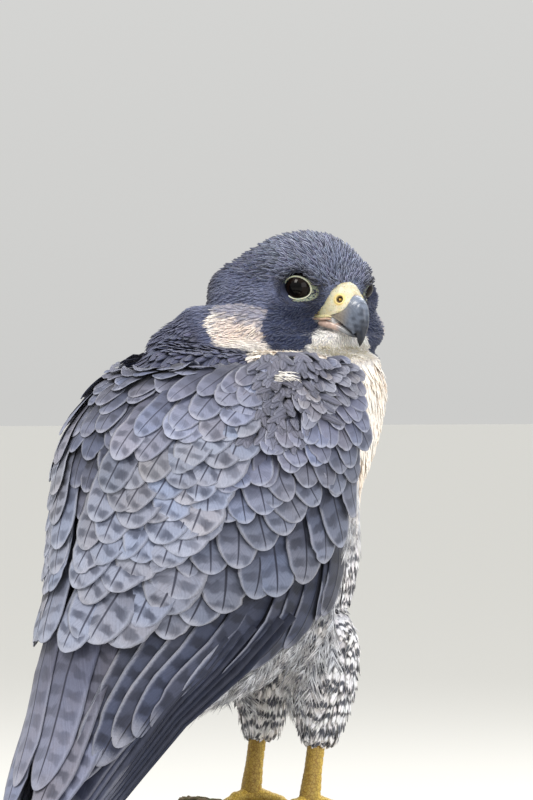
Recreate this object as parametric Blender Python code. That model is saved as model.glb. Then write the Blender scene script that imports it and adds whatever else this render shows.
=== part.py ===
"""Peregrine falcon, life size, perched on a cut length of branch over a plain display stand.

Metres, +Z up. The origin is the middle of the stand base's underside, the bird heads along +X,
and its left side is towards +Y. The head is turned over the right shoulder.
"""

import math
import random

import bmesh
import bpy
from mathutils import Matrix, Vector

MM = 0.001
GAP = 0.3 * MM
FAR_SIDE_WIDTH = 80 * MM
# Edges sharper than this stay sharp
SHARP_ANGLE = math.radians(40)

# Outer shape of the plumage with the wings folded on it, as level slices in mm:
# height, back edge, widest place, half width, front edge
ENVELOPE = [
    (345, -49, 4, 40, 42),
    (333, -65, -3, 55, 54),
    (320, -82, -8, 66, 62),
    (305, -95, -14, 71, 64),
    (290, -104, -21, 75, 61),
    (274, -109, -29, 77, 56),
    (259, -111, -34, 77, 50),
    (240, -114, -36, 76, 48),
    (218, -118, -38, 73, 48),
    (200, -123, -43, 68, 44),
    (183, -127, -54, 62, 33),
    (165, -131, -76, 56, 3),
    (150, -133, -92, 51, -45),
    (129, -138, -110, 45, -80),
    (106, -146, -128, 37, -104),
    (80, -158, -147, 28, -122),
    (60, -168, -159, 21, -136),
    (45, -175, -167.5, 15, -147),
    (35, -180, -173, 10, -154),
]
# The body below the folded wings, in the same columns
BODY = [
    (345, -47, 5, 37, 51),
    (333, -61, -2, 49, 61),
    (320, -77, -6, 57, 65.5),
    (305, -89, -12, 61, 67),
    (290, -97, -18, 63, 63),
    (274, -101, -25, 64, 57),
    (259, -103, -30, 64, 50),
    (240, -105, -33, 63, 48),
    (218, -109, -36, 60, 48),
    (200, -113, -42, 56, 44),
    (183, -116, -54, 50, 33),
    (165, -119, -74, 43, 3),
    (150, -119, -90, 36, -45),
    (138, -119, -101, 28, -76),
    (128, -118, -106, 20, -92),
]
NECK = [
    (356, -27, 6, 28, 40),
    (345, -38, 5, 33, 49),
    (339, -46, 5, 34, 53),
    (334, -54, 3, 38, 58),
    (328, -67, -4, 52, 63),
]
NECK_BASE_Z = 328 * MM
BODY_LOW_Z = 129 * MM
BODY_LEVELS = 13
BODY_SIDES = 26
# The neck rises left of the middle, behind the face: height, shift to the left, both in mm
NECK_LEAN = [(328, 0), (334, 17), (339, 17), (345, 15), (356, 10)]
NECK_TOP_Z = 355 * MM
NECK_LEVELS = 5

HEAD_CENTRE = Vector((25, -6, 356)) * MM
HEAD_TURN = math.radians(-85)
HEAD_DIP = math.radians(7)
# Head sections from the nape to the face in mm: forward, half width, top, bottom, then the share by
# which the puffed cheeks are wider and how far down, of the lower half, they begin
HEAD_SECTIONS = [
    (-57, 10, 0, -30, 0, 0),
    (-54, 19, 8, -34, 0, 0),
    (-48, 27, 15, -36, 0, 0),
    (-38, 32.5, 24, -37, 0, 0),
    (-20, 35.5, 33, -37, 0.1, 0),
    (-6, 36.5, 35.5, -37, 0.35, 0),
    (4, 35, 34, -37, 0.48, 0),
    (11, 30.5, 31, -35.5, 0.6, 0.1),
    (17, 25, 26.5, -33, 0.73, 0.2),
    (22, 19.3, 20.5, -30, 0.95, 0.3),
    (26, 13.8, 15, -27, 1.1, 0.4),
    (28.5, 8.8, 11, -24, 1.2, 0.5),
]
CHEEK_BLEND = 0.45
# Room left round the head, whose grown form is nearer than its growth where the cheeks turn under
HEAD_ROOM = 0.9 * MM
HEAD_SIDES = 22
HEAD_LEVELS = 11
EYE_CENTRE = Vector((11.4, 19.6, 8.0)) * MM
EYE_RADIUS = 7.6 * MM
# The eye looks ahead of straight sideways, and a little down
EYE_AHEAD = math.radians(32)
EYE_DOWN = math.radians(4)
HOLLOW_RADIUS = 8.6 * MM
HOLLOW_OUT = 7.4 * MM
LID_RADIUS = 6.3 * MM
LID_THICK = 1.0 * MM

# Cere sections in mm: forward, half width, top, bottom
CERE_SECTIONS = [
    (17, 11.8, 7, -7.0),
    (21, 12.2, 10.6, -7.2),
    (25, 10.9, 12.0, -7.2),
    (29, 8.6, 10.4, -6.6),
    (31.8, 7.6, 7.2, -6.0),
]
NOSTRIL = Vector((29.0, 8.0, 4.0)) * MM
NOSTRIL_RADIUS = 1.5 * MM
NOSTRIL_DEPTH = 1.6 * MM
# The nostril opens a little back of straight inwards
NOSTRIL_BACK = 1.5 * MM
CERE_SIDES = 20
# The cere and the lower bill are squarer than an oval, which is power 2
FACE_POWER = 2.2

# Upper bill sections in mm: ridge forward, ridge up, edge forward, edge up, half width
BILL_SECTIONS = [
    (29.0, 8.0, 25.0, -6.0, 8.4),
    (33.0, 6.2, 29.0, -7.2, 8.2),
    (36.0, 5.2, 32.0, -8.8, 7.4),
    (39.0, 3.2, 34.6, -10.6, 6.2),
    (41.3, 0.0, 36.4, -11.9, 5.0),
    (42.4, -4.4, 37.7, -12.6, 3.9),
    (42.6, -9.0, 38.6, -13.4, 3.0),
    (42.0, -13.2, 38.9, -15.4, 2.0),
]
BILL_TIP = Vector((39.6, 0, -19.2)) * MM
BILL_SIDES = 16
BILL_TIP_SHARE = 0.25
# Lower bill sections in mm: forward, half width, top, bottom
JAW_SECTIONS = [
    (19.5, 9.4, -8.2, -12.8),
    (24.0, 8.8, -8.2, -13.4),
    (29.0, 7.2, -8.9, -14.4),
    (33.5, 5.0, -10.4, -15.4),
    (36.4, 2.8, -12.0, -15.4),
]
JAW_SIDES = 16

# Tail, in the plane that leans back and down from the rump
TAIL_ROOT = Vector((-92, 0, 145)) * MM
TAIL_LEAN = math.radians(60)
TAIL_LENGTH = 152 * MM
TAIL_PAIRS = 6
TAIL_ROOT_HALF = 15 * MM
TAIL_ROOT_THICK = 5.5 * MM
TAIL_ROOT_SHARE = 0.3
TAIL_VANE_WIDTH = 22 * MM
# From each pair to the next one out: turn of the fan, side step at the root, drop and shortening
TAIL_FAN = math.radians(1.7)
TAIL_STEP = 1.8 * MM
TAIL_DROP = 1.15 * MM
TAIL_SHORTER = 1.6 * MM
TAIL_SEED = 7
TAIL_FAN_VARIES = 0.3
TAIL_ROOT_START = -0.04
TAIL_ROOT_LEVELS = 4
TAIL_ROOT_SIDES = 12
# The root widens by one share and thins by the other towards its end
TAIL_ROOT_WIDENS = 0.25
TAIL_ROOT_THINS = 0.75
TAIL_TOP_SHARE = 0.45

# The folded wing lies on the body from an inner edge to an outer edge, as angles round the slices
WING_TOP_Z = 330 * MM
# The wing's core, which the vanes are rooted in: height, inner edge, outer edge in degrees
WING_EDGES = [
    (330, 34, 92),
    (313, 15, 98),
    (292, 9, 110),
    (278, 6, 119),
    (264, 4, 126),
    (252, 3, 124),
    (243, 3, 116),
    (223, 3, 106),
    (200, 3, 100),
    (175, 3, 97),
    (150, 4, 95),
]
CORE_LOW_Z = 168 * MM
CORE_TOP_LIFT = -3.4 * MM
CORE_LEVELS = 8
CORE_SIDES = 5
CORE_RIM_SINK = 1.5 * MM
# Height and how deep the core lies under the outer plumage, in mm
CORE_DEPTH = [(330, 13), (300, 13), (200, 12), (160, 11)]

# Rows of wing vanes: name, how many, then tables along the row, from its outer end (0) to its inner
# end (1): root height and angle, tip height and angle, then width, tip lift, root lift and tilt
WING_ROWS = [
    ("primary", 6, [(0, 200, 88), (1, 190, 58)],
     [(0, 36.5, 62), (1, 118, 42)], 16, (-9.0, -6.0), (-11.0, -8.0), 0.1),
    ("secondary", 6, [(0, 240, 107), (1, 252, 48)],
     [(0, 186, 92), (1, 124, 40)], 18, (-3.6, -0.2), (-5.2, -4.4), 0.2),
    ("tertial", 3, [(0, 242, 38), (1, 236, 14)],
     [(0, 108, 36), (0.5, 103, 24), (1, 114, 12)], 24, (1.6, 3.4), (-4.8, -4.4), 0.1),
    ("great_covert", 7, [(0, 280, 112), (1, 254, 54)],
     [(0, 243, 113), (0.2, 222, 105), (0.4, 213, 92), (0.7, 198, 73), (1, 188, 50)], 23,
     (-0.4, 1.4), (-5.2, -4.6), 0.12),
    ("mid_covert", 6, [(0, 298, 108), (1, 288, 60)],
     [(0, 262, 119), (0.3, 247, 107), (0.7, 236, 84), (1, 226, 60)], 24, (1.2, 2.4), (-5.0, -4.6), 0.12),
    ("long_scapular", 4, [(0, 264, 46), (1, 256, 11)],
     [(0, 216, 50), (0.5, 199, 31), (1, 196, 12)], 30, (3.6, 4.6), (-4.8, -4.4), 0.1),
    ("mid_scapular", 4, [(0, 292, 47), (1, 278, 13)],
     [(0, 260, 53), (0.5, 236, 36), (1, 226, 14)], 30, (4.4, 5.2), (-4.8, -4.4), 0.1),
    ("near_scapular", 3, [(0, 318, 54), (1, 302, 22)],
     [(0, 287, 62), (0.5, 270, 42), (1, 258, 20)], 30, (4.8, 5.6), (-4.8, -4.4), 0.1),
]
FLIGHT_STATIONS = (0, 0.3, 0.62, 0.9)
COVERT_STATIONS = (0, 0.45, 0.85)
# Share of a vane's full width along its length
VANE_OUTLINE = [(0, 0.5), (0.15, 0.8), (0.45, 1.0), (0.75, 0.96), (0.9, 0.7), (1, 0.0)]
VANE_RISE = 0.45
VANE_THICK = 0.65 * MM
VANE_TIP_THICK = 0.5 * MM
FLAT_BOW = 900 * MM
TIGHT_BOW = 22 * MM
# The folded primaries lie flat on one another and share one outward direction
STACK_OUT = Vector((-0.80, -0.36, 0.42))
WING_SEED = 11
# How much vanes of a row differ: tip height in mm, tip angle in degrees, share of the width
TIP_HEIGHT_VARIES = 1.5
TIP_ANGLE_VARIES = 0.6
WIDTH_VARIES = 0.04

# Legs
LEG_SPACING = 26 * MM
THIGH_SIDES = 16
# Height, middle X, half depth, half width in mm
THIGH_SECTIONS = [
    (196, 8, 23, 22),
    (182, 12, 24, 23),
    (165, 15, 20, 20),
    (148, 16, 15, 16),
    (135, 15, 11, 12),
    (129, 14, 9, 10),
]
PERCH_CENTRE = Vector((8, 0, 78)) * MM
PERCH_RADIUS = 18.5 * MM
PERCH_HALF_LENGTH = 84 * MM
PERCH_LEVELS = 4
PERCH_SIDES = 20
PERCH_BED_SIDES = 48
TOE_RADIUS = 3.6 * MM
TOE_SHAPE = [1.2, 1.15, 0.95, 1.1, 0.9, 1.05, 0.95, 0.75]
TOE_STAND_OFF = TOE_RADIUS * TOE_SHAPE[0] + 0.35 * MM
TOE_SIDES = 8
CLAW_RADIUS = 2.2 * MM
CLAW_TIP = 0.25 * MM
CLAW_SINK = 1.5 * MM
CLAW_STATIONS = 6
CLAW_SIDES = 6
CLAW_TAPER = 0.8
# The claw's tip lies this much nearer the perch than its root
CLAW_DROP = 1.2 * MM
TARSUS_TOP = Vector((14, 0, 141)) * MM
TARSUS_RADIUS = 4.6 * MM
# How far down the shank each station is, and its share of the radius there
TARSUS_SHAPE = [(0, 1.05), (0.3, 0.95), (0.6, 0.95), (0.85, 1.1), (1.0, 1.15)]
TARSUS_SIDES = 10
# The shank ends this far over the toes' middle line
TARSUS_LIFT = 1.5 * MM
# Toe name, splay from straight ahead in degrees, length in mm, claw length in mm
TOES = [
    ("inner", 24, 33, 17),
    ("middle", -2, 48, 15),
    ("outer", -27, 36, 13),
    ("hind", 180, 20, 18),
]

# Display stand
BASE_HALF_LENGTH = 105 * MM
BASE_HALF_WIDTH = 75 * MM
BASE_THICK = 12 * MM
BASE_CENTRE_X = -20 * MM
ROD_RADIUS = 5 * MM
ROD_OFFSET = 52 * MM
ROD_SIDES = 16
BASE_CORNER = 14 * MM
BASE_EDGE = 2 * MM


# Colour, roughness and metallic of each material
LOOKS = {
    "hood": ((0.07, 0.08, 0.13), 0.8, 0),
    "breast": ((0.78, 0.66, 0.5), 0.85, 0),
    "wing": ((0.16, 0.18, 0.25), 0.75, 0),
    "eye": ((0.006, 0.004, 0.005), 0.08, 0),
    "cere": ((0.85, 0.78, 0.45), 0.5, 0),
    "bill": ((0.06, 0.08, 0.11), 0.35, 0),
    "foot": ((0.82, 0.62, 0.15), 0.6, 0),
    "claw": ((0.015, 0.014, 0.016), 0.3, 0),
    "bark": ((0.12, 0.1, 0.05), 0.95, 0),
    "stand": ((0.05, 0.045, 0.04), 0.5, 0),
    "rod": ((0.3, 0.3, 0.3), 0.35, 1),
}


def clear_scene():
    """Removes everything that the file opens with."""
    for thing in list(bpy.data.objects):
        bpy.data.objects.remove(thing, do_unlink=True)


def material(name, colour, roughness, metallic):
    """Makes a Principled material."""
    made = bpy.data.materials.new(name)
    made.use_nodes = True
    shader = made.node_tree.nodes["Principled BSDF"]
    shader.inputs["Base Color"].default_value = (*colour, 1)
    shader.inputs["Roughness"].default_value = roughness
    shader.inputs["Metallic"].default_value = metallic
    return made


def between(table, at):
    """Reads a smooth curve through the rows of a table whose first column rises or falls."""
    rows = sorted(table)
    if at <= rows[0][0]:
        return list(rows[0][1:])
    if at >= rows[-1][0]:
        return list(rows[-1][1:])
    k = max(i for i in range(len(rows) - 1) if rows[i][0] <= at)
    low, high = rows[k], rows[k + 1]
    before = rows[max(k - 1, 0)]
    after = rows[min(k + 2, len(rows) - 1)]
    step = high[0] - low[0]
    t = (at - low[0]) / step
    values = []
    for c in range(1, len(low)):
        slope_low = (high[c] - before[c]) / (high[0] - before[0]) * step
        slope_high = (after[c] - low[c]) / (after[0] - low[0]) * step
        h = t * t * (3 - 2 * t)
        value = low[c] * (1 - h) + high[c] * h
        value += slope_low * t * (1 - t) ** 2 - slope_high * t * t * (1 - t)
        values.append(value)
    return values


def on_slices(table, z, angle):
    """Gives the point of a sliced shape at a height and an angle from the back, right side positive."""
    back, side, half, front = (v * MM for v in between(table, z / MM))
    turn = math.cos(angle)
    depth = side - back if turn > 0 else front - side
    return Vector((side - depth * turn, -half * math.sin(angle), z))


def normal_on(table, z, angle):
    """Gives the outward direction there."""
    step_z, step_angle = 1.5 * MM, 0.03
    down = on_slices(table, z - step_z, angle) - on_slices(table, z + step_z, angle)
    around = on_slices(table, z, angle + step_angle) - on_slices(table, z, angle - step_angle)
    return down.cross(around).normalized()


def lifted(table, z, angle, lift):
    """Gives the point that stands a distance off a sliced shape."""
    return on_slices(table, z, angle) + lift * normal_on(table, z, angle)


def add_object(name, points, faces, look=None):
    """Makes a mesh object and turns its faces outwards."""
    mesh = bpy.data.meshes.new(name)
    mesh.from_pydata([tuple(p) for p in points], [], faces)
    work = bmesh.new()
    work.from_mesh(mesh)
    bmesh.ops.recalc_face_normals(work, faces=work.faces)
    work.to_mesh(mesh)
    work.free()
    made = bpy.data.objects.new(name, mesh)
    bpy.context.scene.collection.objects.link(made)
    if look is not None:
        mesh.materials.append(look)
    return made


def loft(name, rings, look=None):
    """Joins rings of as many points each into one closed body with flat or pointed ends."""
    count = len(rings[0])
    points = [p for ring in rings for p in ring]
    faces = []
    for r in range(len(rings) - 1):
        for k in range(count):
            a, b = r * count + k, r * count + (k + 1) % count
            faces.append((a, b, b + count, a + count))
    for r, turn in ((0, -1), (len(rings) - 1, 1)):
        middle = sum(rings[r], Vector()) / count
        points.append(middle)
        tip = len(points) - 1
        for k in range(count):
            pair = (r * count + k, r * count + (k + 1) % count)
            faces.append((*pair[::turn], tip))
    return add_object(name, points, faces, look)


def body_loft(name, heights, grow=0.0, look=None):
    """Makes a closed body of level slices of the body below the wings."""
    rings = []
    for z in heights:
        turns = [math.tau * (j + 0.5) / BODY_SIDES for j in range(BODY_SIDES)]
        rings.append([lifted(BODY, z, a, grow) for a in turns])
    if grow:
        rings[0] = [p - Vector((0, 0, grow)) for p in rings[0]]
    return loft(name, rings, look)


def body_heights():
    """Gives the heights of the body's slices."""
    step = (NECK_BASE_Z - BODY_LOW_Z) / BODY_LEVELS
    return [BODY_LOW_Z + step * k for k in range(BODY_LEVELS + 1)]


def head_space():
    """Gives the matrix from the head's forward, left and up to the world."""
    turn = Matrix.Rotation(HEAD_TURN, 4, "Z") @ Matrix.Rotation(HEAD_DIP, 4, "Y")
    return Matrix.Translation(HEAD_CENTRE) @ turn


def oval_ring(section, forward, count, power=2.0, grow=0.0):
    """Gives an upright oval section across the head's forward line, widest at the line if it holds it."""
    half, top, bottom, *cheek = section
    flare, start = cheek or (0, 0)
    ring = []
    middle = 0 if top > 0 > bottom else (top + bottom) / 2
    for k in range(count):
        angle = math.tau * k / count
        c, s = math.cos(angle), math.sin(angle)
        fit = (abs(c) ** power + abs(s) ** power) ** (-1 / power)
        height = (top - middle if s > 0 else middle - bottom) * MM + grow
        share = min(max((-s - start) / CHEEK_BLEND, 0), 1)
        wide = 1 + flare * share * share * (3 - 2 * share)
        ring.append(Vector((forward * MM, (half * wide * MM + grow) * c * fit, middle * MM + height * s * fit)))
    return ring


def head_loft(name, sections, count, power=2.0, grow=0.0, levels=None, look=None):
    """Makes a closed body of upright ovals and sets it in the head's place."""
    space = head_space()
    first, last = sections[0][0], sections[-1][0]
    stations = [s[0] for s in sections]
    if levels:
        shares = [(1 - math.cos(math.pi * k / levels)) / 2 for k in range(levels + 1)]
        stations = [first + (last - first) * share for share in shares]
    rings = []
    for forward in stations:
        rings.append(oval_ring(between(sections, forward), forward, count, power, grow))
    if grow:
        for ring, sign in ((rings[0], -1), (rings[-1], 1)):
            for p in ring:
                p.x += sign * grow
    return loft(name, [[space @ p for p in ring] for ring in rings], look)


def cere_loft(name, grow=0.0, look=None):
    """Makes the cere, or grown, the cutter that leaves room for it."""
    return head_loft(name, CERE_SECTIONS, CERE_SIDES, FACE_POWER, grow, look=look)


def jaw_loft(name, grow=0.0, look=None):
    """Makes the lower bill, or grown, the cutter that leaves room for it."""
    return head_loft(name, JAW_SECTIONS, JAW_SIDES, FACE_POWER, grow, look=look)


def skull_loft(name, grow=0.0, look=None):
    """Makes the round of the head, or grown, the cutter that leaves room for it."""
    return head_loft(name, HEAD_SECTIONS, HEAD_SIDES, grow=grow, levels=HEAD_LEVELS, look=look)


def remove(thing):
    """Removes an object and its mesh."""
    mesh = thing.data
    bpy.data.objects.remove(thing, do_unlink=True)
    bpy.data.meshes.remove(mesh)


def keep_largest(thing):
    """Keeps only the largest closed surface of an object."""
    work = bmesh.new()
    work.from_mesh(thing.data)
    bmesh.ops.triangulate(work, faces=work.faces)
    left = set(work.faces)
    shells = []
    while left:
        stack = [left.pop()]
        shell = set(stack)
        while stack:
            for edge in stack.pop().edges:
                touching = edge.link_faces if len(edge.link_faces) == 2 else ()
                for face in touching:
                    if face in left:
                        left.discard(face)
                        shell.add(face)
                        stack.append(face)
        shells.append(shell)
    largest = max(shells, key=len)
    drop = [f for shell in shells if shell is not largest for f in shell]
    bmesh.ops.delete(work, geom=drop, context="FACES")
    work.to_mesh(thing.data)
    work.free()


def combine(thing, others, operation):
    """Joins others to an object or cuts them from it, and removes them."""
    group = bpy.data.collections.new("tools")
    bpy.context.scene.collection.children.link(group)
    for other in others:
        group.objects.link(other)
    change = thing.modifiers.new("change", "BOOLEAN")
    change.operation = operation
    change.solver = "EXACT"
    change.operand_type = "COLLECTION"
    change.collection = group
    bpy.context.view_layer.update()
    seen = thing.evaluated_get(bpy.context.evaluated_depsgraph_get())
    mesh = bpy.data.meshes.new_from_object(seen)
    thing.modifiers.clear()
    old = thing.data
    thing.data = mesh
    bpy.data.meshes.remove(old)
    mesh.name = thing.name
    for other in others:
        remove(other)
    bpy.data.collections.remove(group)
    keep_largest(thing)
    return thing


def smooth(thing):
    """Shades the round places smoothly."""
    thing.data.shade_smooth()
    thing.data.set_sharp_from_angle(angle=SHARP_ANGLE)
    return thing


def ball(name, centre, radius, segments=16, rings=10, look=None):
    """Makes a sphere."""
    mesh = bpy.data.meshes.new(name)
    work = bmesh.new()
    bmesh.ops.create_uvsphere(work, u_segments=segments, v_segments=rings, radius=radius)
    bmesh.ops.translate(work, verts=work.verts, vec=centre)
    work.to_mesh(mesh)
    work.free()
    made = bpy.data.objects.new(name, mesh)
    bpy.context.scene.collection.objects.link(made)
    if look is not None:
        mesh.materials.append(look)
    return made


def tube(name, path, radii, sides, look=None):
    """Sweeps a round section along a path, with a radius for each point."""
    rings = []
    side = None
    for k, point in enumerate(path):
        ahead = path[min(k + 1, len(path) - 1)] - path[max(k - 1, 0)]
        ahead.normalize()
        if side is None:
            side = ahead.orthogonal().normalized()
        side = (side - ahead * side.dot(ahead)).normalized()
        other = ahead.cross(side)
        turn = [math.tau * j / sides for j in range(sides)]
        rings.append([point + radii[k] * (math.cos(a) * side + math.sin(a) * other) for a in turn])
    return loft(name, rings, look)


def eye_place(side):
    """Gives an eye's centre, side +1 for the left."""
    return head_space() @ Vector((EYE_CENTRE.x, side * EYE_CENTRE.y, EYE_CENTRE.z))


def eye_axis(side):
    """Gives the direction that an eye looks in, side +1 for the left."""
    ahead, down = math.sin(EYE_AHEAD), math.sin(EYE_DOWN)
    local = Vector((ahead, side * math.sqrt(1 - ahead**2 - down**2), -down))
    return head_space().to_3x3() @ local


def bill_upper_loft(name, grow=0.0, look=None):
    """Makes the hooked upper bill from its ridge and its cutting edge."""
    space = head_space()
    rings = []
    for ridge_f, ridge_u, edge_f, edge_u, half in BILL_SECTIONS:
        ridge = Vector((ridge_f, 0, ridge_u)) * MM
        edge = Vector((edge_f, 0, edge_u)) * MM
        middle = (ridge + edge) / 2
        up = (ridge - edge) / 2
        up += up.normalized() * grow
        ring = []
        for k in range(BILL_SIDES):
            angle = math.tau * k / BILL_SIDES
            across = Vector((0, half * MM + grow, 0)) * math.cos(angle)
            ring.append(space @ (middle + across + up * math.sin(angle)))
        rings.append(ring)
    tip = space @ BILL_TIP
    last = sum(rings[-1], Vector()) / BILL_SIDES
    rings.append([tip + (p - last) * BILL_TIP_SHARE for p in rings[-1]])
    return loft(name, rings, look)


def make_head(looks):
    """Makes the head with its eyes, lids, cere, nostrils and bill."""
    space = head_space()
    head = skull_loft("head", look=looks["hood"])
    rise = math.sqrt(EYE_RADIUS**2 - LID_RADIUS**2)
    for side, word in ((1, "left"), (-1, "right")):
        place = eye_place(side)
        ball(f"eye_{word}", place, EYE_RADIUS, look=looks["eye"])
        out = eye_axis(side)
        combine(head, [ball("hollow", place + out * HOLLOW_OUT, HOLLOW_RADIUS, 14, 7)], "DIFFERENCE")
        combine(head, [torus("lid", place + out * rise, out, LID_RADIUS, LID_THICK)], "UNION")
        combine(head, [ball("socket", place, EYE_RADIUS + GAP)], "DIFFERENCE")
    cere = cere_loft("cere", look=looks["cere"])
    combine(head, [cere_loft("cere_bed", GAP)], "DIFFERENCE")
    bill = bill_upper_loft("bill_upper", look=looks["bill"])
    combine(bill, [cere_loft("cere_bed", GAP)], "DIFFERENCE")
    for side in (1, -1):
        centre = space @ Vector((NOSTRIL.x, side * NOSTRIL.y, NOSTRIL.z))
        inward = (space @ Vector((NOSTRIL.x - NOSTRIL_BACK, 0, NOSTRIL.z)) - centre).normalized()
        line = [centre - inward * NOSTRIL_DEPTH, centre + inward * NOSTRIL_DEPTH]
        combine(cere, [tube("pit", line, [NOSTRIL_RADIUS] * 2, 10)], "DIFFERENCE")
    jaw = jaw_loft("bill_lower", look=looks["bill"])
    combine(jaw, [bill_upper_loft("bill_bed", GAP)], "DIFFERENCE")
    combine(jaw, [cere_loft("cere_bed", GAP)], "DIFFERENCE")
    combine(head, [jaw_loft("jaw_bed", GAP)], "DIFFERENCE")
    for thing in (head, cere, bill, jaw):
        smooth(thing)


def torus(name, centre, axis, major, minor, segments=16, sides=5):
    """Makes a ring."""
    side = axis.orthogonal().normalized()
    other = axis.cross(side)
    points, faces = [], []
    for k in range(segments):
        turn = math.tau * k / segments
        out = math.cos(turn) * side + math.sin(turn) * other
        for j in range(sides):
            roll = math.tau * j / sides
            points.append(centre + out * (major + minor * math.cos(roll)) + axis * minor * math.sin(roll))
    for k in range(segments):
        for j in range(sides):
            a, b = k * sides + j, k * sides + (j + 1) % sides
            c, d = ((k + 1) % segments) * sides + (j + 1) % sides, ((k + 1) % segments) * sides + j
            faces.append((a, b, c, d))
    return add_object(name, points, faces)


def make_neck(looks):
    """Makes the short neck that the head sits down into."""
    rings = []
    low = NECK_BASE_Z + GAP
    for k in range(NECK_LEVELS + 1):
        z = low + (NECK_TOP_Z - low) * k / NECK_LEVELS
        lean = Vector((0, between(NECK_LEAN, z / MM)[0] * MM, 0))
        turns = [math.tau * (j + 0.5) / BODY_SIDES for j in range(BODY_SIDES)]
        rings.append([on_slices(NECK, z, a) + lean for a in turns])
    neck = loft("neck", rings, looks["hood"])
    combine(neck, [skull_loft("head_bed", HEAD_ROOM)], "DIFFERENCE")
    combine(neck, [jaw_loft("jaw_bed", GAP)], "DIFFERENCE")
    return smooth(neck)


def make_torso(looks):
    """Makes the breast, back, belly and rump."""
    torso = body_loft("torso", body_heights(), look=looks["breast"])
    combine(torso, [skull_loft("head_bed", HEAD_ROOM)], "DIFFERENCE")
    return smooth(torso)


def body_bed():
    """Makes the cutter that leaves a wing, leg or tail clear of the body."""
    return body_loft("body_bed", [*body_heights(), BODY[0][0] * MM], grow=GAP)


def far_side(side):
    """Makes the cutter that keeps a wing on its own side of the back."""
    rings = []
    for z in (0, WING_TOP_Z + FAR_SIDE_WIDTH):
        near, far = -side * GAP / 2, side * FAR_SIDE_WIDTH
        back, front = -4 * FAR_SIDE_WIDTH, FAR_SIDE_WIDTH
        corners = [(back, near), (front, near), (front, far), (back, far)]
        rings.append([Vector((x, y, z)) for x, y in (corners if side > 0 else corners[::-1])])
    return loft("far_side", rings)


def wing_core(name, side, look):
    """Makes the core of a folded wing as a shell between the outer plumage and the body."""
    rings = []
    for k in range(CORE_LEVELS + 1):
        z = CORE_LOW_Z + (WING_TOP_Z - CORE_LOW_Z) * k / CORE_LEVELS
        inner, outer = (math.radians(v) for v in between(WING_EDGES, z / MM))
        depth = between(CORE_DEPTH, z / MM)[0] * MM
        upper, under = [], []
        for j in range(CORE_SIDES + 1):
            share = j / CORE_SIDES
            angle = side * (inner + (outer - inner) * share)
            full = 1 - abs(2 * share - 1) ** 4
            upper.append(lifted(ENVELOPE, z, angle, CORE_TOP_LIFT * full - CORE_RIM_SINK * (1 - full)))
            under.append(lifted(ENVELOPE, z, angle, -depth))
        rings.append(upper + under[::-1])
    return loft(name, rings, look)


def vane(name, stations):
    """Makes one thin vane from stations of centre, across and out directions, half width, lift,
    tilt, bow radius and thickness. The last station is the tip, where both faces meet."""
    tops, bottoms = [], []
    for centre, across, out, half, lift, tilt, bow, thick in stations[:-1]:
        for x in (-half, 0, half):
            face = centre + across * x + out * (lift + tilt * x - x * x / (2 * bow))
            tops.append(face)
            bottoms.append(face - out * thick)
    centre, across, out, half, lift, tilt, bow, thick = stations[-1]
    tip = centre + out * (lift - thick / 2)
    points = tops + bottoms + [tip]
    under, last = len(tops), len(points) - 1
    faces = []
    rows = len(stations) - 1
    for r in range(rows - 1):
        for c in range(2):
            a = r * 3 + c
            pair = ((a, a + 1, a + 4), (a, a + 4, a + 3))
            for tri in pair:
                faces.append(tri)
                faces.append(tuple(under + v for v in reversed(tri)))
        for c in (0, 2):
            a = r * 3 + c
            faces.append((a, a + 3, under + a + 3, under + a))
    for c in range(2):
        a = (rows - 1) * 3 + c
        faces.append((a, a + 1, last))
        faces.append((under + a + 1, under + a, last))
        faces.append((c, c + 1, under + c + 1, under + c))
    for c in (0, 2):
        a = (rows - 1) * 3 + c
        faces.append((a, under + a, last))
    return add_object(name, points, faces)


def vane_out(name, side, z, angle):
    """Gives the direction a wing vane faces: the plumage's own, or the stack's for a primary."""
    if name.startswith("primary"):
        return Vector((STACK_OUT.x, STACK_OUT.y * side, STACK_OUT.z)).normalized()
    return normal_on(ENVELOPE, z, side * angle)


def vane_bow(name, side, z, angle):
    """Gives the radius that a wing vane is bowed to across, which follows the plumage under it."""
    if name.startswith("primary"):
        return FLAT_BOW
    step = 0.08
    low, mid, high = (on_slices(ENVELOPE, z, side * (angle + k * step)) for k in (-1, 0, 1))
    chord = (high - low).length
    sag = ((high + low) / 2 - mid).length
    return max(TIGHT_BOW, chord * chord / (8 * sag))


def laid_vane(name, side, root, tip, width, tip_lift, root_lift, tilt, marks):
    """Lays a vane on the folded wing, between a root and a tip given by height and angle."""
    stations = []
    for t in (*marks, 1):
        z = (root[0] + (tip[0] - root[0]) * t) * MM
        angle = math.radians(root[1] + (tip[1] - root[1]) * t)
        centre = on_slices(ENVELOPE, z, side * angle)
        out = vane_out(name, side, z, angle)
        step = 0.02
        z_on = z + (tip[0] - root[0]) * step * MM
        angle_on = angle + math.radians(tip[1] - root[1]) * step
        along = (on_slices(ENVELOPE, z_on, side * angle_on) - centre).normalized()
        out = (out - along * out.dot(along)).normalized()
        across = along.cross(out).normalized() * side
        rise = min(1, t / VANE_RISE)
        rise = rise * rise * (3 - 2 * rise)
        lift = (root_lift + (tip_lift - root_lift) * rise) * MM
        half = width * MM / 2 * between(VANE_OUTLINE, t)[0]
        thick = VANE_THICK + (VANE_TIP_THICK - VANE_THICK) * t
        bow = vane_bow(name, side, z, angle)
        stations.append((centre, across, out, half, lift, tilt, bow, thick))
    return vane(name, stations)


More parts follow.
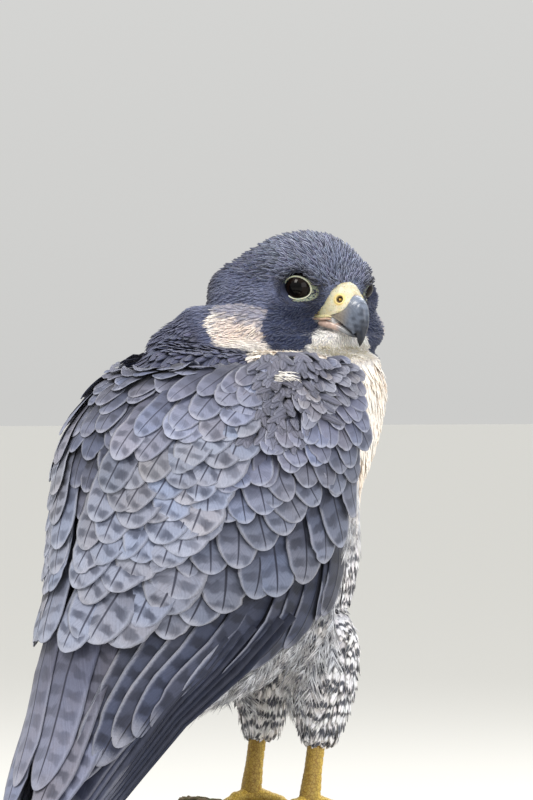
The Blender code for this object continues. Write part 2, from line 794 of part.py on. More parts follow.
def wing_row(side, row, draw):
    """Makes one row of a wing's vanes, each laid over the one outside it."""
    name, count, roots, tips, width, tip_lift, root_lift, tilt = row
    marks = FLIGHT_STATIONS if name == "primary" else COVERT_STATIONS
    made = []
    for k in range(count):
        t = k / (count - 1)
        root, tip = between(roots, t), between(tips, t)
        tip[0] += draw.uniform(-TIP_HEIGHT_VARIES, TIP_HEIGHT_VARIES)
        tip[1] += draw.uniform(-TIP_ANGLE_VARIES, TIP_ANGLE_VARIES)
        span = width * draw.uniform(1 - WIDTH_VARIES, 1 + WIDTH_VARIES)
        high = tip_lift[0] + (tip_lift[1] - tip_lift[0]) * t
        low = root_lift[0] + (root_lift[1] - root_lift[0]) * t
        made.append(laid_vane(f"{name}_{k}", side, root, tip, span, high, low, tilt, marks))
    return made


def make_wing(side, looks):
    """Makes one folded wing, side +1 for the right."""
    word = "right" if side > 0 else "left"
    draw = random.Random(WING_SEED)
    wing = wing_core(f"wing_{word}", side, looks["wing"])
    vanes = [v for row in WING_ROWS for v in wing_row(side, row, draw)]
    combine(wing, vanes, "UNION")
    combine(wing, [body_bed()], "DIFFERENCE")
    combine(wing, [far_side(side)], "DIFFERENCE")
    return smooth(wing)


def tail_frame():
    """Gives the tail's length, width and back directions."""
    along = Vector((-math.cos(TAIL_LEAN), 0, -math.sin(TAIL_LEAN)))
    return along, Vector((0, 1, 0)), Vector((-math.sin(TAIL_LEAN), 0, math.cos(TAIL_LEAN)))


def tail_vane(name, side, pair, draw):
    """Makes one tail feather, side +1 for the left, pair 0 in the middle."""
    along, across, back = tail_frame()
    fan = (pair + 0.5) * TAIL_FAN * side + draw.uniform(-TAIL_FAN_VARIES, TAIL_FAN_VARIES) * TAIL_FAN
    ahead = (along * math.cos(fan) + across * math.sin(fan)).normalized()
    sideways = ahead.cross(back).normalized()
    start = TAIL_ROOT + across * side * (pair + 0.5) * TAIL_STEP
    length = TAIL_LENGTH - pair * TAIL_SHORTER - draw.uniform(0, 1) * TAIL_SHORTER
    lift = TAIL_ROOT_THICK * TAIL_TOP_SHARE - (pair + (0.5 if side > 0 else 0)) * TAIL_DROP
    stations = []
    for t in (*COVERT_STATIONS, 1):
        half = TAIL_VANE_WIDTH / 2 * between(VANE_OUTLINE, t)[0]
        thick = VANE_THICK + (VANE_TIP_THICK - VANE_THICK) * t
        stations.append((start + ahead * length * t, sideways, back, half, lift, 0, FLAT_BOW, thick))
    return vane(name, stations)


def make_tail(looks):
    """Makes the tail fan of twelve vanes on one root."""
    draw = random.Random(TAIL_SEED)
    along, across, back = tail_frame()
    rings = []
    turns = [math.tau * (j + 0.5) / TAIL_ROOT_SIDES for j in range(TAIL_ROOT_SIDES)]
    for k in range(TAIL_ROOT_LEVELS + 1):
        t = k / TAIL_ROOT_LEVELS
        middle = TAIL_ROOT + along * TAIL_LENGTH * (TAIL_ROOT_SHARE * t + TAIL_ROOT_START)
        half = TAIL_ROOT_HALF * (1 + TAIL_ROOT_WIDENS * t)
        thick = TAIL_ROOT_THICK * (1 - TAIL_ROOT_THINS * t * t)
        rings.append([middle + across * half * math.cos(a) + back * thick * math.sin(a) for a in turns])
    tail = loft("tail", rings, looks["wing"])
    vanes = [tail_vane("rectrix", side, pair, draw) for pair in range(TAIL_PAIRS) for side in (1, -1)]
    combine(tail, vanes, "UNION")
    combine(tail, [body_bed()], "DIFFERENCE")
    return smooth(tail)


def make_leg(side, looks):
    """Makes the feathered thigh, side +1 for the left."""
    word = "left" if side > 0 else "right"
    rings = []
    for height, forward, deep, wide in THIGH_SECTIONS:
        middle = Vector((forward * MM, side * LEG_SPACING, height * MM))
        ring = []
        for k in range(THIGH_SIDES):
            angle = math.tau * k / THIGH_SIDES
            ring.append(middle + Vector((deep * math.cos(angle), wide * math.sin(angle), 0)) * MM)
        rings.append(ring)
    leg = loft(f"leg_{word}", rings, looks["breast"])
    combine(leg, [body_bed()], "DIFFERENCE")
    combine(leg, [shank("shank_bed", side, GAP)], "DIFFERENCE")
    return smooth(leg)


def toe_path(side, splay, length, lift, count):
    """Gives points along a toe that wraps the perch, from the ball of the foot."""
    path = []
    radius = PERCH_RADIUS + lift
    for k in range(count):
        s = length * k / (count - 1)
        around = s * math.cos(splay) / radius
        y = side * LEG_SPACING + side * s * math.sin(splay)
        path.append(PERCH_CENTRE + Vector((radius * math.sin(around), y, radius * math.cos(around))))
    return path


def shank(name, side, grow, look=None):
    """Makes the bare shank from inside the thigh's feathers to the ball of the foot."""
    low = PERCH_CENTRE + Vector((0, side * LEG_SPACING, PERCH_RADIUS + TOE_STAND_OFF + TARSUS_LIFT))
    top = TARSUS_TOP + Vector((0, side * LEG_SPACING, grow))
    path = [top.lerp(low, t) for t, _ in TARSUS_SHAPE]
    return tube(name, path, [TARSUS_RADIUS * f + grow for _, f in TARSUS_SHAPE], TARSUS_SIDES, look)


def make_foot(side, looks):
    """Makes the bare shank with four toes, and the claw of each toe, side +1 for the left."""
    word = "left" if side > 0 else "right"
    foot = shank(f"foot_{word}", side, 0, looks["foot"])
    radii = [TOE_RADIUS * f for f in TOE_SHAPE]
    toes = []
    for name, degrees, length, claw in TOES:
        splay = math.radians(degrees)
        path = toe_path(side, splay, length * MM, TOE_STAND_OFF, len(radii))
        toes.append(tube(f"toe_{name}", path, radii, TOE_SIDES))
        make_claw(f"claw_{word}_{name}", side, splay, length * MM, claw * MM, looks)
    combine(foot, toes, "UNION")
    smooth(foot)


def make_claw(name, side, splay, length, claw, looks):
    """Makes one curved claw, which starts a gap past the end of its toe."""
    toe = toe_path(side, splay, length, TOE_STAND_OFF, len(TOE_SHAPE))
    toe.append(toe[-1] + (toe[-1] - toe[-2]).normalized() * GAP)
    bed = tube("toe_bed", toe, [TOE_RADIUS * f + GAP for f in (*TOE_SHAPE, TOE_SHAPE[-1])], TOE_SIDES)
    points, radii = [], []
    for k in range(CLAW_STATIONS):
        t = k / (CLAW_STATIONS - 1)
        reach = length - CLAW_SINK + (claw + CLAW_SINK) * t
        points.append(toe_path(side, splay, reach, TOE_STAND_OFF - CLAW_DROP * t, 2)[-1])
        radii.append(CLAW_RADIUS * (1 - t) ** CLAW_TAPER + CLAW_TIP)
    made = tube(name, points, radii, CLAW_SIDES, looks["claw"])
    smooth(combine(made, [bed], "DIFFERENCE"))


def make_perch(looks):
    """Makes the cut length of branch."""
    path = []
    for k in range(PERCH_LEVELS + 1):
        along = PERCH_HALF_LENGTH * (2 * k / PERCH_LEVELS - 1)
        path.append(PERCH_CENTRE + Vector((0, along, 0)))
    smooth(tube("perch", path, [PERCH_RADIUS] * len(path), PERCH_SIDES, looks["bark"]))


def make_perch_bed():
    """Makes the cutter that leaves a rod clear of the perch."""
    ends = [PERCH_CENTRE + Vector((0, s * (PERCH_HALF_LENGTH + ROD_RADIUS), 0)) for s in (-1, 1)]
    return tube("perch_bed", ends, [PERCH_RADIUS + GAP] * 2, PERCH_BED_SIDES)


def make_stand(looks):
    """Makes the flat base and the two rods up to the perch."""
    mesh = bpy.data.meshes.new("stand_base")
    work = bmesh.new()
    bmesh.ops.create_cube(work, size=1)
    size = Vector((2 * BASE_HALF_LENGTH, 2 * BASE_HALF_WIDTH, BASE_THICK))
    bmesh.ops.scale(work, vec=size, verts=work.verts)
    bmesh.ops.translate(work, vec=Vector((BASE_CENTRE_X, 0, BASE_THICK / 2)), verts=work.verts)
    upright = [e for e in work.edges if abs(e.verts[0].co.z - e.verts[1].co.z) > BASE_THICK / 2]
    bmesh.ops.bevel(
        work, geom=upright, offset=BASE_CORNER, segments=5, profile=0.5, affect="EDGES"
    )
    top = [e for e in work.edges if all(v.co.z > BASE_THICK / 2 for v in e.verts)]
    bmesh.ops.bevel(work, geom=top, offset=BASE_EDGE, segments=2, profile=0.5, affect="EDGES")
    work.to_mesh(mesh)
    work.free()
    base = bpy.data.objects.new("stand_base", mesh)
    bpy.context.scene.collection.objects.link(base)
    mesh.materials.append(looks["stand"])
    smooth(base)
    for sign, word in ((1, "left"), (-1, "right")):
        foot = Vector((PERCH_CENTRE.x, sign * ROD_OFFSET, BASE_THICK + GAP))
        line = [foot, Vector((foot.x, foot.y, PERCH_CENTRE.z))]
        rod = tube(f"stand_rod_{word}", line, [ROD_RADIUS] * 2, ROD_SIDES, looks["rod"])
        smooth(combine(rod, [make_perch_bed()], "DIFFERENCE"))


def main():
    """Makes every piece."""
    clear_scene()
    looks = {name: material(name, *values) for name, values in LOOKS.items()}
    make_head(looks)
    make_neck(looks)
    make_torso(looks)
    for side in (1, -1):
        make_wing(side, looks)
        make_leg(side, looks)
        make_foot(side, looks)
    make_tail(looks)
    make_perch(looks)
    make_stand(looks)


main()
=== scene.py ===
"""Looks of a life-size peregrine falcon perched on a cut branch over a plain display stand.

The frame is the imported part's: +Z up, the bird's body heads along +X and its left side is
towards +Y. Tables and sizes are in millimetres, and points turn to metres as a mesh is made.
Angles round the body are in degrees from the middle of the back, positive on the right side.
"""

from __future__ import annotations

import logging
import math
from collections.abc import Callable
from dataclasses import dataclass, field
from enum import Enum

import bmesh
import bpy
import numpy as np
from mathutils import Matrix, Vector
from mathutils.bvhtree import BVHTree

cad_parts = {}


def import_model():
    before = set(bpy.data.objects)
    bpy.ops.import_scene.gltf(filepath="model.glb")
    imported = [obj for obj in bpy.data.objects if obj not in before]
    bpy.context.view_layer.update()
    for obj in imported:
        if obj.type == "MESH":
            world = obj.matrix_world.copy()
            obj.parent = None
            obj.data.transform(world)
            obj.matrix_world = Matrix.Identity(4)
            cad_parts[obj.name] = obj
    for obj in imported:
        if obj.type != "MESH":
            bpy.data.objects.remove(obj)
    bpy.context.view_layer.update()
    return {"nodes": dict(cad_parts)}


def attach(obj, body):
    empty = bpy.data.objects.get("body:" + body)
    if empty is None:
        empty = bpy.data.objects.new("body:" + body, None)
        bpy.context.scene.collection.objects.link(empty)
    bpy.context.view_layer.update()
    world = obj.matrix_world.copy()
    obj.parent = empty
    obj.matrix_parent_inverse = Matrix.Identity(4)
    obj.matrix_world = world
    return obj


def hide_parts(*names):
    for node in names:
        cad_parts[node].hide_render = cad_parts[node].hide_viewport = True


LOG = logging.getLogger("falcon")
MM = 0.001
Array = np.ndarray

# Outer plumage with the folded wings, as level slices: height, back, widest place, half width, front
ENVELOPE = [
    (345, -49, 4, 40, 42), (333, -65, -3, 55, 54), (320, -82, -8, 66, 62), (305, -95, -14, 71, 64),
    (290, -104, -21, 75, 61), (274, -109, -29, 77, 56), (259, -111, -34, 77, 50), (240, -114, -36, 76, 48),
    (218, -118, -38, 73, 48), (200, -123, -43, 68, 44), (183, -127, -54, 62, 33), (165, -131, -76, 56, 3),
    (150, -133, -92, 51, -45), (129, -138, -110, 45, -80), (106, -146, -128, 37, -104),
    (80, -158, -147, 28, -122), (60, -168, -159, 21, -136), (45, -175, -167.5, 15, -147),
    (35, -180, -173, 10, -154),
]
# Body under the wings, in the same columns
BODY = [
    (345, -47, 5, 37, 51), (333, -61, -2, 49, 61), (320, -77, -6, 57, 65.5), (305, -89, -12, 61, 67),
    (290, -97, -18, 63, 63), (274, -101, -25, 64, 57), (259, -103, -30, 64, 50), (240, -105, -33, 63, 48),
    (218, -109, -36, 60, 48), (200, -113, -42, 56, 44), (183, -116, -54, 50, 33), (165, -119, -74, 43, 3),
    (150, -119, -90, 36, -45), (138, -119, -101, 28, -76), (128, -118, -106, 20, -92),
]
NECK = [(356, -27, 6, 28, 40), (345, -38, 5, 33, 49), (339, -46, 5, 34, 53), (334, -54, 3, 38, 58),
    (328, -67, -4, 52, 63)]
# Height and the neck's shift to the left, away from the face
NECK_LEAN = [(328, 0), (334, 17), (339, 17), (345, 15), (356, 10)]
THIGH = [(196, 8, 23, 22), (182, 12, 24, 23), (165, 15, 20, 20), (148, 16, 15, 16), (135, 15, 11, 12),
    (129, 14, 9, 10)]
LEG_SPACING = 26.0

HEAD_CENTRE = (25.0, -6.0, 356.0)
HEAD_TURN = -85.0
HEAD_DIP = 7.0
# Head sections: forward, half width, top, bottom, the cheeks' flare and how far down it starts
HEAD = [
    (-57, 10, 0, -30, 0, 0), (-54, 19, 8, -34, 0, 0), (-48, 27, 15, -36, 0, 0), (-38, 32.5, 24, -37, 0, 0),
    (-20, 35.5, 33, -37, 0.1, 0), (-6, 36.5, 35.5, -37, 0.35, 0), (4, 35, 34, -37, 0.48, 0),
    (11, 30.5, 31, -35.5, 0.6, 0.1), (17, 25, 26.5, -33, 0.73, 0.2), (22, 19.3, 20.5, -30, 0.95, 0.3),
    (26, 13.8, 15, -27, 1.1, 0.4), (28.5, 8.8, 11, -24, 1.2, 0.5),
]
CHEEK_BLEND = 0.45
EYE_CENTRE = (11.4, 19.6, 8.0)
EYE_RADIUS = 7.6
EYE_AHEAD = 32.0
EYE_DOWN = 4.0
LID_WIDE, LID_HIGH, LID_LOW = 6.75, 5.35, 5.6


def linear(code: str) -> tuple[float, float, float]:
    """Turns an sRGB hex value to linear red, green and blue."""
    parts = [int(code[k : k + 2], 16) / 255 for k in (1, 3, 5)]
    return tuple(c / 12.92 if c <= 0.04045 else ((c + 0.055) / 1.055) ** 2.4 for c in parts)


def tint(colour: str) -> Array:
    """Gives a colour's linear values as an array."""
    return np.array(linear(colour))


def ramp(low: float, high: float, value: Array) -> Array:
    """Rises smoothly from 0 at low to 1 at high, or falls where low is above high."""
    share = np.clip((np.asarray(value, float) - low) / (high - low), 0, 1)
    return share * share * (3 - 2 * share)


def unit(vectors: Array) -> Array:
    """Gives vectors of length one along the last axis."""
    return vectors / np.maximum(np.linalg.norm(vectors, axis=-1, keepdims=True), 1e-9)


def tangent(vectors: Array, normals: Array) -> Array:
    """Lays vectors into the planes that the normals stand on, at length one."""
    return unit(vectors - normals * (vectors * normals).sum(-1, keepdims=True))


def ripple(points: Array, size: float, seed: int) -> Array:
    """Gives a smooth wavy value of about -1 to 1 at points, with waves about one size long."""
    draw = np.random.default_rng(seed)
    total = np.zeros(points.shape[:-1])
    for _ in range(5):
        way = unit(draw.normal(size=3)) * math.tau / size * draw.uniform(0.6, 1.5)
        total += np.sin(points @ way + draw.uniform(0, math.tau))
    return total / 2.6


class Table:
    """A smooth curve through rows whose first column rises or falls."""

    def __init__(self, rows: list) -> None:
        """Sorts the rows by their first column."""
        data = np.array(sorted(rows), float)
        self.at, self.values = data[:, 0], data[:, 1:]

    def __call__(self, at: Array) -> Array:
        """Reads the curve.

        Args:
            at: values of the first column, of any shape.

        Returns:
            The other columns there, on a new last axis.
        """
        at = np.clip(np.asarray(at, float), self.at[0], self.at[-1])
        last = len(self.at) - 1
        k = np.clip(np.searchsorted(self.at, at, side="right") - 1, 0, last - 1)
        before, after = np.maximum(k - 1, 0), np.minimum(k + 2, last)
        step = (self.at[k + 1] - self.at[k])[..., None]
        t = (at - self.at[k])[..., None] / step
        low, high = self.values[k], self.values[k + 1]
        slope_low = (high - self.values[before]) / (self.at[k + 1] - self.at[before])[..., None] * step
        slope_high = (self.values[after] - low) / (self.at[after] - self.at[k])[..., None] * step
        h = t * t * (3 - 2 * t)
        return low * (1 - h) + high * h + slope_low * t * (1 - t) ** 2 - slope_high * t * t * (1 - t)


class Slices:
    """A body form given by level slices, each an oval that is fuller in front than behind."""

    def __init__(self, rows: list, lean: list | None = None) -> None:
        """Keeps the slice table and, if given, the table of its sideways lean."""
        self.table = Table(rows)
        self.lean = Table(lean) if lean else None

    def point(self, height: Array, angle: Array) -> Array:
        """Gives points of the form at heights and angles, which broadcast together."""
        height, angle = np.broadcast_arrays(np.asarray(height, float), np.radians(angle))
        back, side, half, front = np.moveaxis(self.table(height), -1, 0)
        turn = np.cos(angle)
        depth = np.where(turn > 0, side - back, front - side)
        y = -half * np.sin(angle)
        if self.lean:
            y = y + self.lean(height)[..., 0]
        return np.stack([side - depth * turn, y, height], -1)

    def normal(self, height: Array, angle: Array) -> Array:
        """Gives the outward directions there."""
        down = self.point(np.asarray(height) - 1.5, angle) - self.point(np.asarray(height) + 1.5, angle)
        around = self.point(height, np.asarray(angle) + 1.7) - self.point(height, np.asarray(angle) - 1.7)
        return unit(np.cross(down, around))

    def lifted(self, height: Array, angle: Array, lift: Array) -> Array:
        """Gives points that stand a distance off the form."""
        return self.point(height, angle) + np.asarray(lift)[..., None] * self.normal(height, angle)


class HeadPlace:
    """The head's own axes: forward to the bill, left and up, from the middle of the skull."""

    def __init__(self) -> None:
        """Works out the turn and place of the head."""
        turn = Matrix.Rotation(math.radians(HEAD_TURN), 3, "Z") @ Matrix.Rotation(math.radians(HEAD_DIP), 3,
            "Y")
        self.turn = np.array(turn)
        self.centre = np.array(HEAD_CENTRE)

    def out(self, points: Array) -> Array:
        """Takes points from the head's axes to the world."""
        return np.asarray(points, float) @ self.turn.T + self.centre

    def into(self, points: Array) -> Array:
        """Takes points from the world to the head's axes."""
        return (np.asarray(points, float) - self.centre) @ self.turn

    def way(self, vector: Array) -> Array:
        """Turns directions from the head's axes to the world."""
        return np.asarray(vector, float) @ self.turn.T

    def eye(self, side: int) -> tuple[Array, Array]:
        """Gives an eye's centre and its outward direction, side +1 for the left."""
        ahead, down = math.sin(math.radians(EYE_AHEAD)), math.sin(math.radians(EYE_DOWN))
        way = (ahead, side * math.sqrt(1 - ahead**2 - down**2), -down)
        return self.out((EYE_CENTRE[0], side * EYE_CENTRE[1], EYE_CENTRE[2])), self.way(way)

    def eye_frame(self, side: int) -> tuple[Array, Array, Array, Array]:
        """Gives an eye's centre with its outward, forward and upward ways."""
        centre, way = self.eye(side)
        ahead = tangent(self.way((1.0, 0, -0.08)), way)
        up = np.cross(way, ahead)
        return centre, way, ahead, up if up[2] > 0 else -up


PLUMAGE = Slices(ENVELOPE)
TRUNK = Slices(BODY)
SKULL = HeadPlace()


# Materials


class Slot(Enum):
    """The material slots of the part's record."""

    HOOD = "hood_feathers"
    BODY = "body_feathers"
    FLIGHT = "flight_feathers"
    EYE = "eye_surface"
    CERE = "cere_skin"
    BILL = "bill_horn"
    FOOT = "foot_skin"
    CLAW = "claw_horn"
    BARK = "branch_bark"
    WOOD = "stand_wood"
    STEEL = "stand_steel"


class Graph:
    """A material's node graph with one way to add a node."""

    def __init__(self, name: str) -> None:
        """Makes an empty material with its output and Principled shader."""
        self.material = bpy.data.materials.new(name)
        self.material.use_nodes = True
        self.tree = self.material.node_tree
        self.shader = self.tree.nodes["Principled BSDF"]

    def add(self, kind: str, out: int | str = 0, settings: dict | None = None, **inputs: object) -> object:
        """Adds a node and links or sets its inputs.

        Args:
            kind: the node's type name without ShaderNode.
            out: which output to give back.
            settings: attributes of the node, such as its operation.
            inputs: values or sockets by input name, or by i0, i1 for the input's number.

        Returns:
            The output socket.
        """
        node = self.tree.nodes.new("ShaderNode" + kind)
        for key, value in (settings or {}).items():
            setattr(node, key, value)
        for key, value in inputs.items():
            socket = node.inputs[int(key[1:])] if key[0] == "i" and key[1:].isdigit() else node.inputs[key]
            self.put(socket, value)
        return node.outputs[out]

    def put(self, socket: object, value: object) -> None:
        """Links a socket to another, or sets its value."""
        if isinstance(value, bpy.types.NodeSocket):
            self.tree.links.new(value, socket)
        elif isinstance(value, tuple) and len(value) == 3 and socket.type == "RGBA":
            socket.default_value = (*value, 1)
        else:
            socket.default_value = value

    def attribute(self, name: str) -> tuple:
        """Adds an Attribute node and gives its colour and alpha."""
        node = self.tree.nodes.new("ShaderNodeAttribute")
        node.attribute_name = name
        return node.outputs["Color"], node.outputs["Alpha"]

    def split(self, value: object, kind: str = "Color") -> tuple:
        """Separates a colour, or with XYZ a vector, into its three parts."""
        node = self.tree.nodes.new("ShaderNodeSeparate" + kind)
        self.put(node.inputs[0], value)
        return tuple(node.outputs)[:3]

    def math(self, operation: str, a: object, b: object = 0.0, clamp: bool = False) -> object:
        """Adds a Math node of two values."""
        return self.add("Math", settings={"operation": operation, "use_clamp": clamp}, i0=a, i1=b)

    def mix(self, share: object, a: object, b: object, blend: str = "MIX") -> object:
        """Adds a colour Mix node."""
        settings = {"data_type": "RGBA", "blend_type": blend}
        return self.add("Mix", 2, settings, i0=share, i6=a, i7=b)

    def smooth(self, value: object, low: float, high: float) -> object:
        """Adds a Map Range node that rises smoothly from 0 at low to 1 at high."""
        settings = {"interpolation_type": "SMOOTHSTEP"}
        return self.add("MapRange", settings=settings, i0=value, i1=low, i2=high)

    def noise(self, size_mm: float, detail: float = 2.0) -> object:
        """Adds a noise whose blots are about one size across, in Object coordinates."""
        place = self.add("TexCoord", "Object")
        return self.add("TexNoise", "Fac", Vector=place, Scale=1 / (size_mm * MM), Detail=detail)

    def finish(self, **values: object) -> bpy.types.Material:
        """Sets the Principled shader's inputs, named with _ for a space, and gives the material."""
        for key, value in values.items():
            self.put(self.shader.inputs[key.replace("_", " ")], value)
        return self.material


@dataclass(frozen=True)
class FeatherFinish:
    """Feather vane of fine barbs, matt, with a soft sheen. Each feather's attributes set the rest.

    Tone: the colour, with the shaft's share of the half width as alpha. Traits: strength of the bars,
    darker over 1, how many there are over 16, strength of the shaft, and of the pale edge. Detail: share
    of the bars that break into spots, where the bars start, contrast of the barbs, and painted shade at the
    root, where the feathers over it would shadow it.
    """

    name: str = "feather keratin"
    roughness: float = 0.6
    bar_tint: tuple = (0.33, 0.34, 0.38)
    deep_bar_tint: tuple = (0.05, 0.055, 0.07)
    shaft_tint: tuple = (0.10, 0.10, 0.14)
    pale: str = "#b9bdcd"

    def make(self) -> bpy.types.Material:
        """Builds the material."""
        g = Graph(self.name)
        tone, shaft_wide = g.attribute("Tone")
        traits, edge_on = g.attribute("Traits")
        bars_on, count, shaft_on = g.split(traits)
        detail, root_painted_shade = g.attribute("Detail")
        spots, start, barbs = g.split(detail)
        u, along, _ = g.split(g.add("UVMap", settings={"uv_map": "Vane"}), "XYZ")
        signed = g.math("MULTIPLY", g.math("SUBTRACT", u, 0.5), 2.0)
        across = g.math("ABSOLUTE", signed)

        warp = g.noise(6.0, 3.0)
        phase = g.math("MULTIPLY", along, g.math("MULTIPLY", count, 16.0))
        phase = g.math("ADD", phase, g.math("MULTIPLY", across, -0.22))
        phase = g.math("ADD", phase, g.math("MULTIPLY", signed, 0.06))
        phase = g.math("ADD", phase, g.math("MULTIPLY", warp, 0.8))
        phase = g.math("ADD", phase, start)
        wave = g.smooth(g.math("SINE", g.math("MULTIPLY", phase, math.tau)), -0.55, 0.75)
        blob = g.smooth(g.math("ABSOLUTE", g.math("SUBTRACT", across, 0.47)), 0.5, 0.1)
        inside = g.smooth(across, 1.0, 0.7)
        shape = g.math("ADD", g.math("MULTIPLY", blob, spots),
            g.math("MULTIPLY", inside, g.math("SUBTRACT", 1.0, spots)))
        bar = g.math("MULTIPLY", g.math("MULTIPLY", wave, shape), g.math("MINIMUM", bars_on, 1.0))
        tint = g.mix(g.math("SUBTRACT", bars_on, 1.0, True), self.bar_tint, self.deep_bar_tint)
        colour = g.mix(bar, tone, g.mix(1.0, tone, tint, "MULTIPLY"))

        # Painted shade: each feather darkens towards its root, where the feathers lying over it would shadow
        # it.
        base = g.smooth(along, 0.35, 0.8)
        root = g.math("MULTIPLY", g.math("SUBTRACT", 1.0, base), root_painted_shade)
        colour = g.mix(root, colour, g.mix(1.0, colour, (0.22, 0.23, 0.28), "MULTIPLY"))
        fringe = g.noise(1.2, 2.0)
        reach = g.math("MAXIMUM", g.math("MULTIPLY", across, g.smooth(along, 0.3, 0.6)),
            g.smooth(along, 0.7, 1.02))
        reach = g.math("ADD", reach, g.math("MULTIPLY", g.math("SUBTRACT", fringe, 0.5), 0.10))
        rim = g.smooth(reach, 0.76, 0.99)
        colour = g.mix(g.math("MULTIPLY", rim, edge_on, True), colour, g.mix(0.5, tone, linear(self.pale)))

        slant = g.math("ADD", g.math("MULTIPLY", along, 44.0), g.math("MULTIPLY", across, -11.0))
        streaks = g.add("TexNoise", settings={"noise_dimensions": "1D"}, W=slant, Scale=1.0, Detail=3.0,
            Roughness=0.7)
        fine = g.noise(0.9, 3.0)
        grain = g.math("ADD", g.math("MULTIPLY", streaks, 0.6), g.math("MULTIPLY", fine, 0.4))
        light = g.math("ADD", g.math("MULTIPLY", g.math("SUBTRACT", grain, 0.5),
            g.math("MULTIPLY", barbs, 1.5)), 1.0)
        colour = g.mix(1.0, colour, g.add("CombineColor", i0=light, i1=light, i2=light), "MULTIPLY")
        blots = g.smooth(g.noise(11.0, 2.0), 0.42, 0.62)
        colour = g.mix(g.math("MULTIPLY", blots, 0.16), colour,
            g.mix(1.0, colour, (1.25, 1.05, 0.86), "MULTIPLY"))

        edge_of_shaft = g.math("SUBTRACT", across, shaft_wide)
        shaft = g.math("MULTIPLY", g.smooth(edge_of_shaft, 0.035, -0.01), shaft_on)
        shaft = g.math("MULTIPLY", shaft, g.smooth(along, 1.0, 0.93))
        colour = g.mix(shaft, colour, g.mix(1.0, tone, self.shaft_tint, "MULTIPLY"))
        height = g.math("ADD", g.math("MULTIPLY", streaks, 0.7), g.math("MULTIPLY", shaft, 0.8))
        bump = g.add("Bump", Height=height, Strength=0.35, Distance=0.35 * MM)
        return g.finish(Base_Color=colour, Roughness=self.roughness, Normal=bump, Specular_IOR_Level=0.25,
                        Sheen_Weight=0.1, Sheen_Roughness=0.5)


@dataclass(frozen=True)
class TintedFinish:
    """Skin, scale or horn in the tones painted on it, with a fine relief."""

    name: str
    roughness: float
    grain_mm: float
    depth: float
    blot_mm: float = 3.0
    blot_tint: tuple = (0.82, 0.8, 0.76)
    cells_mm: float = 0.0
    gloss: float = 0.5
    under: float = 0.0

    def make(self) -> bpy.types.Material:
        """Builds the material."""
        g = Graph(self.name)
        tone, _ = g.attribute("Tone")
        blots = g.smooth(g.noise(self.blot_mm, 3.0), 0.35, 0.7)
        colour = g.mix(blots, tone, g.mix(1.0, tone, self.blot_tint, "MULTIPLY"))
        height = g.noise(self.grain_mm, 3.0)
        if self.cells_mm:
            place = g.add("TexCoord", "Object")
            cells = g.add("TexVoronoi", settings={"feature": "DISTANCE_TO_EDGE"}, Vector=place,
                          Scale=1 / (self.cells_mm * MM))
            seams = g.smooth(cells, 0.0, 0.14)
            colour = g.mix(seams, g.mix(1.0, colour, (0.62, 0.5, 0.32), "MULTIPLY"), colour)
            height = g.math("ADD", seams, g.math("MULTIPLY", height, 0.3))
        bump = g.add("Bump", Height=height, Strength=self.depth, Distance=0.2 * MM)
        return g.finish(Base_Color=colour, Roughness=self.roughness, Normal=bump,
            Specular_IOR_Level=self.gloss,
                        Subsurface_Weight=self.under, Subsurface_Scale=0.8 * MM)


@dataclass(frozen=True)
class EyeFinish:
    """A wet cornea over a near-black brown iris: one clean small highlight."""

    name: str = "wet cornea"

    def make(self) -> bpy.types.Material:
        """Builds the material."""
        g = Graph(self.name)
        tone, _ = g.attribute("Tone")
        streaks = g.noise(0.5, 2.0)
        colour = g.mix(streaks, tone, g.mix(1.0, tone, (0.7, 0.7, 0.7), "MULTIPLY"))
        return g.finish(Base_Color=colour, Roughness=0.04, IOR=1.376, Specular_IOR_Level=0.2)


@dataclass(frozen=True)
class BarkFinish:
    """Weathered bark: grey-brown ridges, dark cracks, a green film of algae and pale lichen."""

    name: str = "weathered bark"
    # Moss, lichen and rust: patch size, detail, where a patch starts and is full, strength, colour
    growths: tuple = (
        (16.0, 4.0, 0.5, 0.62, 0.75, "#4f5c2c"), (6.0, 5.0, 0.63, 0.70, 0.6, "#9ba383"),
        (9.0, 3.0, 0.64, 0.72, 0.5, "#8a4f25"))

    def make(self) -> bpy.types.Material:
        """Builds the material."""
        g = Graph(self.name)
        tone, cut = g.attribute("Tone")
        place = g.add("TexCoord", "Object")
        long = g.add("Mapping", i0=place, Scale=(1.0, 0.16, 1.0))
        fibre = g.add("TexNoise", Vector=long, Scale=1 / (2.2 * MM), Detail=5.0)
        colour = g.mix(g.smooth(fibre, 0.35, 0.65), g.mix(1.0, tone, (0.36, 0.33, 0.3), "MULTIPLY"), tone)
        for size, detail, low, high, strength, growth in self.growths:
            patch = g.math("MULTIPLY", g.smooth(g.noise(size, detail), low, high),
                g.math("SUBTRACT", 1.0, cut))
            colour = g.mix(g.math("MULTIPLY", patch, strength), colour, linear(growth))
        height = g.math("ADD", fibre, g.math("MULTIPLY", g.noise(1.1, 4.0), 0.5))
        bump = g.add("Bump", Height=height, Strength=0.9, Distance=0.9 * MM)
        return g.finish(Base_Color=colour, Roughness=0.92, Normal=bump, Specular_IOR_Level=0.2)


